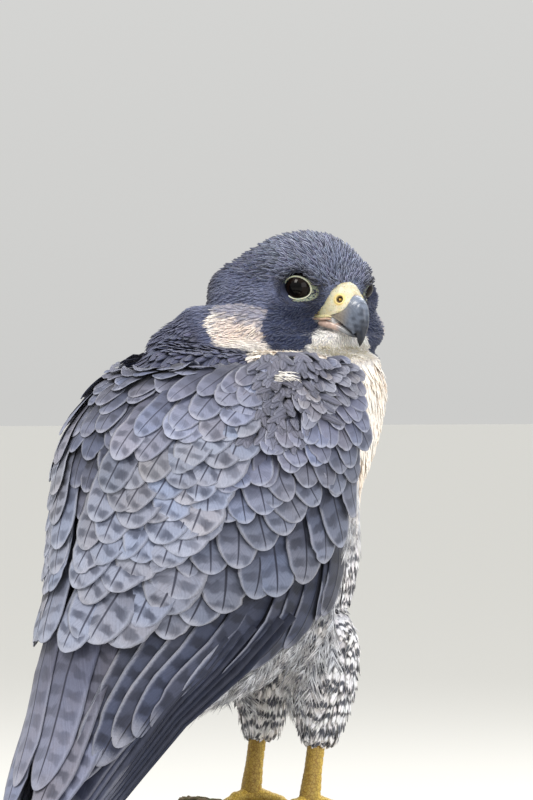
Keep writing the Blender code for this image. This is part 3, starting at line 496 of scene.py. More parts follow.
@dataclass(frozen=True)
class WoodFinish:
    """Satin-lacquered dark oak: long grain with short darker pores along X."""

    name: str = "lacquered dark oak"

    def make(self) -> bpy.types.Material:
        """Builds the material."""
        g = Graph(self.name)
        place = g.add("TexCoord", "Object")
        rings = g.add("Mapping", i0=place, Scale=(0.09, 1.0, 0.6))
        figure = g.add("TexNoise", Vector=rings, Scale=1 / (7.0 * MM), Detail=5.0, Distortion=0.6)
        pores = g.add("Mapping", i0=place, Scale=(0.07, 1.0, 1.0))
        pore = g.smooth(g.add("TexNoise", Vector=pores, Scale=1 / (0.8 * MM), Detail=2.0), 0.58, 0.68)
        colour = g.mix(g.smooth(figure, 0.3, 0.7), linear("#5a4636"), linear("#38291f"))
        colour = g.mix(g.math("MULTIPLY", pore, 0.7), colour, linear("#1d1511"))
        bump = g.add("Bump", Height=g.math("SUBTRACT", 1.0, pore), Strength=0.3, Distance=0.15 * MM)
        return g.finish(Base_Color=colour, Roughness=0.38, Normal=bump, Coat_Weight=0.25, Coat_Roughness=0.2)


@dataclass(frozen=True)
class SteelFinish:
    """Satin stainless steel, brushed round the rod."""

    name: str = "satin stainless steel"

    def make(self) -> bpy.types.Material:
        """Builds the material."""
        g = Graph(self.name)
        place = g.add("TexCoord", "Object")
        brushed = g.add("Mapping", i0=place, Scale=(0.12, 0.12, 1.0))
        lines = g.add("TexNoise", Vector=brushed, Scale=1 / (0.35 * MM), Detail=3.0)
        rough = g.add("MapRange", i0=lines, i1=0.3, i2=0.7, i3=0.26, i4=0.42)
        bump = g.add("Bump", Height=lines, Strength=0.12, Distance=0.05 * MM)
        return g.finish(Base_Color=linear("#b9b9b6"), Metallic=1.0, Roughness=rough, Normal=bump)


# Feathers as arrays


@dataclass(frozen=True)
class Section:
    """A feather's cross section as a ring: place across, and 1 for the points underneath."""

    across: tuple
    under: tuple

    @property
    def count(self) -> int:
        """The number of points round the ring."""
        return len(self.across)


SPIKE = Section((-1, 0, 1), (0, 0, 0))
LENS = Section((-1, -0.5, 0, 0.5, 1, 0), (0, 0, 0, 0, 0, 1))
VANE = Section((-1, -0.84, -0.6, -0.3, -0.06, 0, 0.06, 0.3, 0.6, 0.84, 1, 0.5, 0, -0.5),
    (0,) * 11 + (1,) * 3)
SHAFT_RIDGE = 0.16


@dataclass
class Feathers:
    """A batch of feathers of one build, as arrays over feathers and the stations along each."""

    centre: Array
    across: Array
    out: Array
    half: Array
    marks: Array
    tone: Array
    traits: Array
    detail: Array
    place: Array
    section: Section = LENS
    droop: Array | float = 0.25
    thick: float = 0.35
    shaft: float = 0.05
    wave: Array | None = None
    uneven: Array | None = None
    patch: float = 0.003

    def arrays(self) -> tuple:
        """Works out the batch's mesh.

        Returns:
            Points, quads, end faces, then vane UVs, bake UVs, tones, traits and details by point.
        """
        many, stations = self.half.shape
        ring = self.section.count
        x = np.array(self.section.across, float)
        under = np.array(self.section.under, float)
        droop = np.broadcast_to(np.asarray(self.droop, float), (many,))[:, None, None]
        half = self.half[..., None]
        if self.uneven is not None:
            half = half * np.where(x < 0, self.uneven[..., :1], self.uneven[..., 1:])
        side = half * x
        drop = -droop * half * x * x - under * self.thick * np.minimum(1, half / 1.5)
        if self.section is VANE:
            drop = drop + (x == 0) * (1 - under) * SHAFT_RIDGE
        if self.wave is not None:
            drop = drop + np.where(x < 0, self.wave[..., :1], self.wave[..., 1:]) * x * x * (1 - under)
        points = (self.centre[:, :, None] + self.across[:, :, None] * side[..., None]
            + self.out[:, :, None] * drop[..., None])
        vane = np.empty((many, stations, ring, 2))
        vane[..., 0] = x * 0.5 + 0.5
        vane[..., 1] = self.marks[:, None]
        bake = self.place[:, None, None] + self.patch * (vane - 0.5)
        tone = self.tone if self.tone.ndim == 3 else np.repeat(self.tone[:, None], stations, 1)
        tone = np.concatenate([tone, np.full((many, stations, 1), self.shaft)], -1)
        spread = [np.broadcast_to(tone[:, :, None], (many, stations, ring, 4))]
        spread += [np.broadcast_to(v[:, None, None], (many, stations, ring, 4))
            for v in (self.traits, self.detail)]
        index = np.arange(many * stations * ring).reshape(many, stations, ring)
        turn = np.roll(index, -1, axis=2)
        quads = np.stack([index[:, :-1], index[:, 1:], turn[:, 1:], turn[:, :-1]], -1).reshape(-1, 4)
        ends = np.concatenate([index[:, 0], index[:, -1, ::-1]]).reshape(-1, ring)
        flat = [v.reshape(-1, v.shape[-1]) for v in (vane, bake, *spread)]
        return points.reshape(-1, 3), quads, ends, *flat


class Coat:
    """One piece of plumage, joined from batches of feathers."""

    def __init__(self, name: str) -> None:
        """Starts an empty piece."""
        self.name = name
        self.batches: list[Feathers] = []

    def add(self, batch: Feathers) -> None:
        """Adds a batch, if it holds a feather."""
        if len(batch.half):
            self.batches.append(batch)

    def build(self, look: bpy.types.Material) -> bpy.types.Object:
        """Makes the piece's mesh with its maps and attributes.

        Args:
            look: the feathers' material.

        Returns:
            The object.
        """
        columns: list[list] = [[] for _ in range(6)]
        faces, start = [], 0
        for batch in self.batches:
            points, quads, ends, *rest = batch.arrays()
            faces += (quads + start).tolist() + (ends + start).tolist()
            start += len(points)
            for column, values in zip(columns, (points * MM, *rest)):
                column.append(values)
        points, vane, bake, tone, traits, detail = (np.concatenate(c) for c in columns)
        mesh = bpy.data.meshes.new(self.name)
        mesh.from_pydata(points.tolist(), [], faces)
        corner = np.empty(len(mesh.loops), np.int32)
        mesh.loops.foreach_get("vertex_index", corner)
        for label, values in (("Vane", vane), ("OFBake", bake)):
            layer = mesh.uv_layers.new(name=label)
            layer.data.foreach_set("uv", values[corner].astype(np.float32).ravel())
        for label, values in (("Tone", tone), ("Traits", traits), ("Detail", detail)):
            paint(mesh, label, values)
        mesh.shade_smooth()
        made = bpy.data.objects.new(self.name, mesh)
        bpy.context.scene.collection.objects.link(made)
        mesh.materials.append(look)
        turn_outward(mesh)
        LOG.info("%s: %d triangles", self.name, triangles(mesh))
        return made


def paint(mesh: bpy.types.Mesh, name: str, values: Array) -> None:
    """Writes four numbers at each point of a mesh as a colour attribute."""
    if values.shape[1] == 3:
        values = np.concatenate([values, np.ones((len(values), 1))], 1)
    layer = mesh.color_attributes.new(name, "FLOAT_COLOR", "POINT")
    layer.data.foreach_set("color", values.astype(np.float32).ravel())


def triangles(mesh: bpy.types.Mesh) -> int:
    """Counts the triangles that a mesh's faces make."""
    return sum(p.loop_total - 2 for p in mesh.polygons)


def turn_outward(mesh: bpy.types.Mesh) -> None:
    """Turns the faces of closed shells outwards."""
    work = bmesh.new()
    work.from_mesh(mesh)
    bmesh.ops.recalc_face_normals(work, faces=work.faces)
    work.to_mesh(mesh)
    work.free()


def to_object(name: str, work: bmesh.types.BMesh) -> bpy.types.Object:
    """Makes a smooth-shaded object of a bmesh and frees it."""
    mesh = bpy.data.meshes.new(name)
    work.to_mesh(mesh)
    work.free()
    made = bpy.data.objects.new(name, mesh)
    bpy.context.scene.collection.objects.link(made)
    mesh.shade_smooth()
    return made


def ring_loft(name: str, rings: list | Array, ends: bool = True, closed: bool = False,
              tones: Array | None = None, look: bpy.types.Material | None = None) -> bpy.types.Object:
    """Bridges rings of points into one skin.

    Args:
        name: the object's name.
        rings: points in millimetres, rings first, each ring of as many points.
        ends: whether both ends are filled.
        closed: whether the last ring is bridged to the first.
        tones: colours for the rings' points, in the same order.
        look: the material.

    Returns:
        The object.
    """
    work = bmesh.new()
    edges = []
    for ring in rings:
        verts = [work.verts.new(Vector(p) * MM) for p in ring]
        edges.append([work.edges.new((verts[k - 1], verts[k])) for k in range(len(verts))])
    pairs = list(zip(edges, edges[1:])) + ([(edges[-1], edges[0])] if closed else [])
    for low, high in pairs:
        bmesh.ops.bridge_loops(work, edges=low + high)
    if ends and not closed:
        for loop in (edges[0], edges[-1]):
            bmesh.ops.triangle_fill(work, edges=loop, use_beauty=True)
    bmesh.ops.recalc_face_normals(work, faces=work.faces)
    made = to_object(name, work)
    if tones is not None:
        paint(made.data, "Tone", np.asarray(tones, float).reshape(-1, 3))
    if look is not None:
        made.data.materials.append(look)
    return made


def grid_loft(name: str, rings: Array, tones: Array, look: bpy.types.Material,
        ends: bool = True) -> bpy.types.Object:
    """Makes a fine closed tube of a grid of points whose rings run round it.

    Args:
        name: the object's name.
        rings: points in millimetres, shaped rings by points round by 3.
        tones: colours, shaped alike.
        look: the material.
        ends: whether both ends are filled with a fan.

    Returns:
        The object.
    """
    many, count = rings.shape[:2]
    index = np.arange(many * count).reshape(many, count)
    turn = np.roll(index, -1, axis=1)
    faces = np.stack([index[:-1], turn[:-1], turn[1:], index[1:]], -1).reshape(-1, 4).tolist()
    points, colours = rings.reshape(-1, 3), np.asarray(tones, float).reshape(-1, 3)
    if ends:
        for row, back in ((0, False), (many - 1, True)):
            middle = len(points)
            points = np.concatenate([points, rings[row].mean(0)[None]])
            colours = np.concatenate([colours, colours[index[row]].mean(0)[None]])
            for k in range(count):
                pair = (int(index[row, k]), int(turn[row, k]))
                faces.append((*(pair if back else pair[::-1]), middle))
    mesh = bpy.data.meshes.new(name)
    mesh.from_pydata((points * MM).tolist(), [], faces)
    paint(mesh, "Tone", colours)
    mesh.shade_smooth()
    made = bpy.data.objects.new(name, mesh)
    bpy.context.scene.collection.objects.link(made)
    mesh.materials.append(look)
    turn_outward(mesh)
    return made


def apply_modifiers(thing: bpy.types.Object) -> None:
    """Applies an object's modifiers to its mesh."""
    bpy.context.view_layer.update()
    seen = thing.evaluated_get(bpy.context.evaluated_depsgraph_get())
    mesh = bpy.data.meshes.new_from_object(seen)
    thing.modifiers.clear()
    old, thing.data = thing.data, mesh
    bpy.data.meshes.remove(old)
    mesh.name = thing.name


def join(name: str, things: list) -> bpy.types.Object:
    """Joins meshes into one new object and removes them."""
    work = bmesh.new()
    for thing in things:
        work.from_mesh(thing.data)
        mesh = thing.data
        bpy.data.objects.remove(thing)
        bpy.data.meshes.remove(mesh)
    return to_object(name, work)


def place_piece(thing: bpy.types.Object, slot: Slot, *nodes: str) -> bpy.types.Object:
    """Sets a finished piece on the frame and hides the nodes that it stands for."""
    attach(thing, "root")
    if nodes:
        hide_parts(*nodes)
    LOG.info("placed %s, %d triangles", thing.name, triangles(thing.data))
    return thing


def positions(mesh: bpy.types.Mesh) -> Array:
    """Gives a mesh's points in millimetres."""
    co = np.empty(len(mesh.vertices) * 3, np.float32)
    mesh.vertices.foreach_get("co", co)
    return co.reshape(-1, 3).astype(float) / MM


def move_points(mesh: bpy.types.Mesh, points: Array) -> None:
    """Sets a mesh's points in millimetres."""
    mesh.vertices.foreach_set("co", (points * MM).astype(np.float32).ravel())
    mesh.update()


def smooth_normals(mesh: bpy.types.Mesh) -> Array:
    """Gives a mesh's smooth normals at its points."""
    normals = np.empty(len(mesh.vertices) * 3, np.float32)
    mesh.vertex_normals.foreach_get("vector", normals)
    return normals.reshape(-1, 3).astype(float)


def relax(points: Array, edges: Array, weight: Array, rounds: int) -> Array:
    """Draws points towards the mean of their neighbours, by a weight for each."""
    many = len(points)
    both = np.concatenate([edges, edges[:, ::-1]])
    count = np.bincount(both[:, 0], minlength=many)[:, None]
    for _ in range(rounds):
        total = np.stack([np.bincount(both[:, 0], points[both[:, 1], k], many) for k in range(3)], -1)
        points = points + (total / count - points) * weight[:, None]
    return points


# Markings of the plumage


def outline_depth(q: Array, h: Array, outline: tuple) -> Array:
    """Gives how deep points lie inside a closed outline in millimetres, negative outside."""
    ring = np.array(outline, float)
    least = np.full(q.shape, 1e9)
    inside = np.zeros(q.shape, bool)
    for (ax, ay), (bx, by) in zip(ring, np.roll(ring, -1, axis=0)):
        ex, ey = bx - ax, by - ay
        t = np.clip(((q - ax) * ex + (h - ay) * ey) / (ex * ex + ey * ey), 0, 1)
        least = np.minimum(least, (q - ax - t * ex) ** 2 + (h - ay - t * ey) ** 2)
        if ey:
            inside ^= ((ay > h) != (by > h)) & (q < (h - ay) / ey * ex + ax)
    return np.where(inside, 1, -1) * np.sqrt(least)


@dataclass
class Marking:
    """Where the plumage changes tone: the same rule colours the skin and every feather.

    The head's patches are outlines of places across the head (forward and outward taken together)
    and heights above the head's middle, alike on both sides.
    """

    hood: str = "#5c6380"
    crown: str = "#8890aa"
    brow: str = "#2b2e3d"
    malar: str = "#3d4560"
    ear: str = "#6f7691"
    nape: str = "#3f4154"
    cheek: str = "#faf6f0"
    peach: str = "#e3cdc0"
    mottle: str = "#8f92a6"
    throat: str = "#f6f5f2"
    olive: str = "#b5a878"
    breast: str = "#fbf5ec"
    buff: str = "#efdcc6"
    belly: str = "#f0f0f3"
    mantle: str = "#4a4e66"
    cheek_patch: tuple = (
        (-53.6, -12), (-52.1, -7.6), (-49.5, -5), (-44.4, -3.2), (-39, -2.6), (-33.6, -3.2), (-28.5, -4.5),
        (-24.7, -6.6), (-23.7, -10.2), (-25, -12.8), (-24.7, -17.2), (-23.7, -21), (-20.8, -25.5),
        (-15.7, -28), (-10.6, -30.3), (-6, -36), (-12, -46), (-34, -46), (-38, -34), (-40, -28), (-45, -25),
        (-48.3, -22.3), (-50.8, -19), (-53.4, -15),
    )
    throat_patch: tuple = (
        (3.2, -9.5), (4.2, -12), (2.7, -16), (0.8, -19.8), (-1.1, -23), (-3, -26), (-5, -29), (-9, -31),
        (-10, -46), (60, -46), (60, -9),
    )
    stripe: Table = field(default_factory=lambda: Table([
        (360, 0, -135), (352, 6, -130), (346, 12, -118), (335, 34, -90), (328, 50, -65), (318, 66, -62),
        (300, 76, -74), (260, 100, -100), (200, 112, -112), (150, 118, -118), (128, 120, -120),
    ]))

    def body_angle(self, points: Array) -> Array:
        """Gives points' angles round the body from the middle of the back."""
        middle = np.interp(points[..., 2], [128, 150, 200, 260, 320, 350], [-100, -80, -45, -35, -10, 3])
        return np.degrees(np.arctan2(-points[..., 1], middle - points[..., 0]))

    def head_share(self, points: Array) -> Array:
        """Gives how far points belong to the head, from 0 on the body to 1."""
        f, side, up = np.moveaxis(SKULL.into(points), -1, 0)
        half, _, bottom, flare, start = np.moveaxis(HEAD_FORM(f), -1, 0)
        low = np.clip(up / bottom, 0, 1)
        wide = half * np.sqrt(1 - low**2) * (1 + flare * ramp(start, start + CHEEK_BLEND, low))
        share = ramp(30, 21, np.abs(side) - wide) * ramp(1.12, 1.0, up / bottom)
        share = share * (1 - ramp(6, 18, side) * ramp(-18, -25, up) * ramp(12, 2, f))
        return np.where(up > 0, 1.0, share) * ramp(319, 326, points[..., 2])

    def tone(self, points: Array) -> Array:
        """Gives the plumage's colour at points.

        Args:
            points: places in millimetres, on the last axis.

        Returns:
            Linear red, green and blue on the last axis.
        """
        f, side, up = np.moveaxis(SKULL.into(points), -1, 0)
        side = np.abs(side)
        rough = ripple(points, 9, 3) * 0.9 + ripple(points, 3.2, 4) * 0.8
        q = 0.643 * f - 0.766 * side + rough
        near = 0.766 * f + 0.643 * side
        h = points[..., 2] - HEAD_CENTRE[2] + ripple(points, 4.5, 6) * 0.8
        colour = np.broadcast_to(tint(self.hood), points.shape).copy()

        def blend(code: str, share: Array) -> None:
            """Mixes a colour in by its share."""
            nonlocal colour
            colour = colour + (tint(code) - colour) * np.clip(share, 0, 1)[..., None]

        blend(self.crown, ramp(8, 24, up + f * 0.45))
        blend(self.ear, ramp(-1, 3, h + 8) * ramp(8, 2, h) * ramp(-18, -24, q) * 0.75)
        blend(self.nape, ramp(0, -15, near) * 0.95)
        blend(self.malar, ramp(2, -5, h) * ramp(-27, -20, q))
        around = np.hypot(q + 10.1, (h - 5.6) * 1.05)
        blend(self.brow, ramp(14, 8, around) * ramp(-2, 6, h + 0.25 * (q + 10)) * 0.8)
        blend(self.brow, ramp(12, 8, around) * 0.45)
        lores = ramp(7.5, 3, np.hypot((q + 0.5) * 0.9, (h - 2.6) * 0.6)) * ramp(9, 13, side)
        blend(self.brow, lores * 0.85)
        depth = outline_depth(q, h, self.cheek_patch)
        cheek = ramp(-0.7, 0.7, depth) * ramp(-38, -30, near)
        blend(self.cheek, cheek)
        blend(self.peach, cheek * ramp(-27, -18, h) * ramp(-54, -45, q) * 0.6)
        blend(self.mottle, cheek * ramp(-14.5, -6.5, h + ripple(points, 3.5, 9) * 2.6 + 0.2 * (q + 38))
            * 0.9)
        blend(self.ear, cheek * ramp(0.35, 0.9, ripple(points, 2.4, 10)) * ramp(-27, -14, h) * 0.5)
        throat = ramp(-0.8, 0.8, outline_depth(q, h, self.throat_patch))
        blend(self.throat, throat)
        olive = ramp(-21, -26, h) * ramp(-38, -31, h) * throat * ramp(-6, 2, q) * ramp(26, 16, side)
        blend(self.olive, olive * (0.45 + 0.35 * ripple(points, 2.6, 12)))
        head = colour
        colour = np.broadcast_to(tint(self.breast), points.shape).copy()
        fold = ramp(0.1, 0.9, ripple(points * np.array([1, 1, 0.35]), 13, 8))
        blend(self.buff, fold * ramp(342, 322, points[..., 2]) * 0.75)
        blend(self.belly, ramp(275, 225, points[..., 2]))
        angle = self.body_angle(points) + rough * 1.2
        right, left = np.moveaxis(self.stripe(points[..., 2]), -1, 0)
        blend(self.mantle, ramp(3, -3, angle - right) * ramp(-3, 3, angle - left))
        share = self.head_share(points)[..., None]
        return head * share + colour * (1 - share)


HEAD_FORM = Table(HEAD)
MARKING = Marking()


@dataclass
class Skin:
    """The one skin of head, neck, body and thighs.

    It starts inside the plumage by the coat's depth. The nape and the cheeks are then filled out, and
    there it passes the solid form by up to about 4.4 mm.
    """

    head_depth: float = 1.7
    body_depth: float = 3.4
    voxel: float = 1.7
    sides: int = 64
    waist: float = 328.0
    skull_span: tuple = (-57.0, 85.5)
    skull_rings: int = 40
    skull_half: float = 45.0
    trunk_span: tuple = (131, 329, 52)
    neck_span: tuple = (322, 353, 12)
    thigh_span: tuple = (196, 131.5, 20)
    # Painted shade: the plumage's tones on the skin are darkened by this factor, as shadow under and between
    # the feathers.
    shade: float = 0.8
    nape_push: float = 5.4
    cheek_puff: float = 4.4
    jaw_puff: float = 1.4
    lores_puff: float = 3.0
    lid_rim: float = 1.1
    socket_depth: float = 6.0
    brow_lift: float = 1.3

    def head_rings(self) -> list:
        """Gives the skull's rings, shrunk by the hood's depth."""
        table = Table(HEAD)
        turn = np.radians(np.arange(self.sides) * 360 / self.sides)
        rings = []
        for share in np.linspace(0, 1, self.skull_rings):
            f = self.skull_span[0] + self.skull_span[1] * (1 - math.cos(math.pi * share)) / 2
            half, top, bottom, flare, start = table(f)
            half, top, bottom = half - self.head_depth, top - self.head_depth, bottom + self.head_depth
            wide = (max(half, 0.5) * np.cos(turn)
                * (1 + flare * ramp(start, start + CHEEK_BLEND, -np.sin(turn))))
            up = np.where(np.sin(turn) > 0, max(top, 0.5), -bottom) * np.sin(turn)
            f_in = f * (1 - self.head_depth / self.skull_half)
            rings.append(SKULL.out(np.stack([np.full(self.sides, f_in), wide, up], -1)))
        return rings

    def parts(self) -> list:
        """Makes the trunk, neck, skull and thighs as overlapping forms."""
        turn = np.arange(self.sides) * 360 / self.sides
        neck_form = Slices(NECK, NECK_LEAN)
        made = [
            ring_loft("trunk", [TRUNK.lifted(z, turn, -self.body_depth)
                for z in np.linspace(*self.trunk_span)]),
            ring_loft("neck", [neck_form.lifted(z, turn, -self.head_depth)
                for z in np.linspace(*self.neck_span)]),
            ring_loft("skull", self.head_rings()),
        ]
        thigh = Table(THIGH)
        round_turn = np.radians(turn)
        for side in (1, -1):
            rings = []
            for z in np.linspace(*self.thigh_span):
                x, deep, wide = thigh(z) - np.array([0, 1, 1]) * self.body_depth * 0.8
                rings.append(np.stack([x + deep * np.cos(round_turn),
                    side * LEG_SPACING + wide * np.sin(round_turn),
                                       np.full(self.sides, z)], -1))
            made.append(ring_loft("thigh", rings))
        return made

    def shape(self, mesh: bpy.types.Mesh) -> None:
        """Softens the neck, fills out the nape and cheeks, dents the eye sockets and raises the brows."""
        edges = np.empty(len(mesh.edges) * 2, np.int32)
        mesh.edges.foreach_get("vertices", edges)
        edges = edges.reshape(-1, 2)
        points = positions(mesh)
        points = relax(points, edges, 0.5 * np.exp(-(((points[:, 2] - self.waist) / 7) ** 2)), 6)
        points = relax(points, edges, np.full(len(points), 0.5), 4)
        f, side, up = np.moveaxis(SKULL.into(points), -1, 0)
        spread = np.hypot(f, side) + 1e-6
        rear = ramp(0.5, 0.92, (0.766 * np.abs(side) - 0.643 * f) / spread) * ramp(-8, -24, f)
        push = 1 + self.nape_push * rear * ramp(18, 6, up) * ramp(-34, -22, up) / spread
        puff = ((self.cheek_puff * np.exp(-(((up - 2.5) / 8.5) ** 2)) + self.jaw_puff * ramp(-2, -9, up))
            * ramp(-30, -8, f) * ramp(24, 16, f))
        lores = self.lores_puff * np.exp(-(((f - 20.0) / 3.0) ** 2)) * ramp(-1, 4, up) * ramp(20, 12, up)
        side = side * push + np.sign(side) * (puff + lores) * ramp(10, 20, np.abs(side)) * ramp(-40, -30, up)
        points = SKULL.out(np.stack([f * push, side, up], -1))
        for side in (1, -1):
            centre, way = SKULL.eye(side)
            offset = points - centre
            deep = (offset * way).sum(1)
            reach = np.linalg.norm(offset - deep[:, None] * way, axis=1)
            rim = self.lid_rim * np.exp(-(((reach - 10.6) / 2.3) ** 2)) * ramp(-4, 0, deep)
            points = points + way * (rim - self.socket_depth * ramp(8.9, 6.2, reach) * (deep > 0))[:, None]
            local = SKULL.into(points)
            t = np.clip(((local[:, 0] - 4) * 20 + (local[:, 2] - 18.5) * -7) / (20**2 + 7**2), 0, 1)
            far = np.hypot(local[:, 0] - 4 - 20 * t, local[:, 2] - 18.5 + 7 * t)
            brow = np.exp(-((far / 3.2) ** 2)) * ramp(12, 17, local[:, 1] * side)
            points = points + way * (self.brow_lift * brow)[:, None]
        points = SKULL.out(self.lores(SKULL.into(points)))
        move_points(mesh, points)

    def lores(self, local: Array) -> Array:
        """Draws the face in towards the cere's edge, so that the cere stands free of it."""
        f, side, up = np.moveaxis(local, -1, 0)
        below = np.clip((11.3 - up) / 17.6, 0, 1)
        cere = np.interp(f, [17, 20, 24, 28, 31], [12.2, 12, 11.3, 10, 9]) * (1 - (1 - below) ** 2) ** 0.46
        cere = np.where(up < -6.4, np.interp(up, [-14, -11, -6.4], [6, 9, 11.5]), cere) - 2.3
        near = ramp(-5.0, 0.2, f - cere_edge(up)) * ramp(-16.5, -13, up) * ramp(15.5, 10.5, up)
        wide = np.minimum(np.abs(side), np.maximum(cere, 0.5))
        side = np.sign(side) * (np.abs(side) * (1 - near) + wide * near)
        return np.stack([f, side, up], -1)

    def build(self) -> bpy.types.Object:
        """Makes the skin, with the plumage's tones on it, darkened by the shade factor as painted shade
        under the feathers.

        Returns:
            The object, which stands for the nodes of flesh.
        """
        skin = join("skin", self.parts())
        remesh = skin.modifiers.new("one skin", "REMESH")
        remesh.mode, remesh.voxel_size = "VOXEL", self.voxel * MM
        apply_modifiers(skin)
        self.shape(skin.data)
        skin.data.shade_smooth()
        # Painted shade: the tones are darkened all over by the shade factor, since the skin shows only under
        # and between the feathers.
        paint(skin.data, "Tone", MARKING.tone(positions(skin.data)) * self.shade)
        skin.data.materials.clear()
        skin.data.materials.append(
            TintedFinish("downy skin", 0.85, 1.5, 0.5, 2.0, (0.6, 0.6, 0.66), gloss=0.2).make())
        return place_piece(skin, Slot.BODY, "head", "neck", "torso", "leg_left", "leg_right")


class Ground:
    """The skin as the feathers' ground: scattered roots, and the nearest place and normal."""

    def __init__(self, skin: bpy.types.Object) -> None:
        """Reads the skin's triangles and smooth normals."""
        mesh = skin.data
        mesh.calc_loop_triangles()
        self.points = positions(mesh)
        tris = np.empty(len(mesh.loop_triangles) * 3, np.int32)
        mesh.loop_triangles.foreach_get("vertices", tris)
        self.tris = tris.reshape(-1, 3)
        self.normals = smooth_normals(mesh)
        self.tree = BVHTree.FromPolygons(self.points.tolist(), self.tris.tolist())

    def scatter(self, spacing: Callable, seed: int, crowd: float = 4.0) -> tuple[Array, Array]:
        """Spreads roots evenly over the skin.

        Args:
            spacing: a function of points that gives the least distance between roots, or 0 for none there.
            seed: the seed of the draw.
            crowd: how many tries are made for each root that would fit.

        Returns:
            The roots and the skin's normals there.
        """
        draw = np.random.default_rng(seed)
        a, b, c = (self.points[self.tris[:, k]] for k in range(3))
        middle_gap = spacing((a + b + c) / 3)
        area = np.linalg.norm(np.cross(b - a, c - a), axis=1) / 2
        weight = np.where(middle_gap > 0, area / np.maximum(middle_gap, 0.3) ** 2, 0)
        tries = int(weight.sum() * crowd)
        pick = draw.choice(len(weight), tries, p=weight / weight.sum())
        u, v = draw.random((2, tries))
        u, v = np.where(u + v > 1, 1 - u, u), np.where(u + v > 1, 1 - v, v)
        spread = (1 - u - v)[:, None], u[:, None], v[:, None]
        points = spread[0] * a[pick] + spread[1] * b[pick] + spread[2] * c[pick]
        corner = self.normals[self.tris[pick]]
        normals = unit(spread[0] * corner[:, 0] + spread[1] * corner[:, 1] + spread[2] * corner[:, 2])
        keep = thin_out(points, spacing(points))
        return points[keep], normals[keep]

    def nearest(self, points: Array) -> tuple[Array, Array]:
        """Gives the nearest places on the skin and the smooth normals there."""
        flat = points.reshape(-1, 3)
        found = np.empty_like(flat)
        index = np.empty(len(flat), int)
        for k, p in enumerate(flat.tolist()):
            place, _, index[k], _ = self.tree.find_nearest(p)
            found[k] = place
        corners = self.tris[index]
        away = np.linalg.norm(self.points[corners] - found[:, None], axis=-1)
        normal = (self.normals[corners] / (away + 0.2)[..., None]).sum(1)
        return found.reshape(points.shape), unit(normal).reshape(points.shape)

    def hit(self, start: Array, way: Array) -> float:
        """Gives how far along a way the skin lies from a start, or 0 where there is none."""
        reach = self.tree.ray_cast(Vector(start), Vector(way))[3]
        return 0.0 if reach is None else float(reach)


def thin_out(points: Array, gap: Array) -> list:
    """Keeps, in order, the points that are no nearer to those kept than their gap."""
    cell = float(gap.max())
    kept, grid = [], {}
    steps = [(i, j, m) for i in (0, -1, 1) for j in (0, -1, 1) for m in (0, -1, 1)]
    rows, gaps = points.tolist(), gap.tolist()

    def crowded(x: float, y: float, z: float, key: tuple, least: float) -> bool:
        """Tells whether a kept point lies nearer than the least distance."""
        for i, j, m in steps:
            for ox, oy, oz in grid.get((key[0] + i, key[1] + j, key[2] + m), ()):
                if (x - ox) ** 2 + (y - oy) ** 2 + (z - oz) ** 2 < least * least:
                    return True
        return False

    for k, (x, y, z) in enumerate(rows):
        key = (int(x // cell), int(y // cell), int(z // cell))
        if gaps[k] > 0 and not crowded(x, y, z, key, gaps[k]):
            grid.setdefault(key, []).append((x, y, z))
            kept.append(k)
    return kept


def lie(points: Array, normals: Array) -> Array:
    """Gives the way that the plumage lies: back from the bill on the head, down on the body."""
    local = SKULL.into(points)
    away = local - np.array([34.0, 0.0, 2.0])
    away[..., 1] *= 1.1
    away[..., 2] -= 9.0 * ramp(-2, -22, local[..., 2])
    away[..., 2] -= 26.0 * ramp(-20, -48, local[..., 0])
    head_way = tangent(SKULL.way(away), normals)
    body_way = tangent(np.broadcast_to(np.array([-0.28, 0.0, -1.0]), points.shape), normals)
    share = MARKING.head_share(points)[..., None]
    return tangent(head_way * share + body_way * (1 - share), normals)


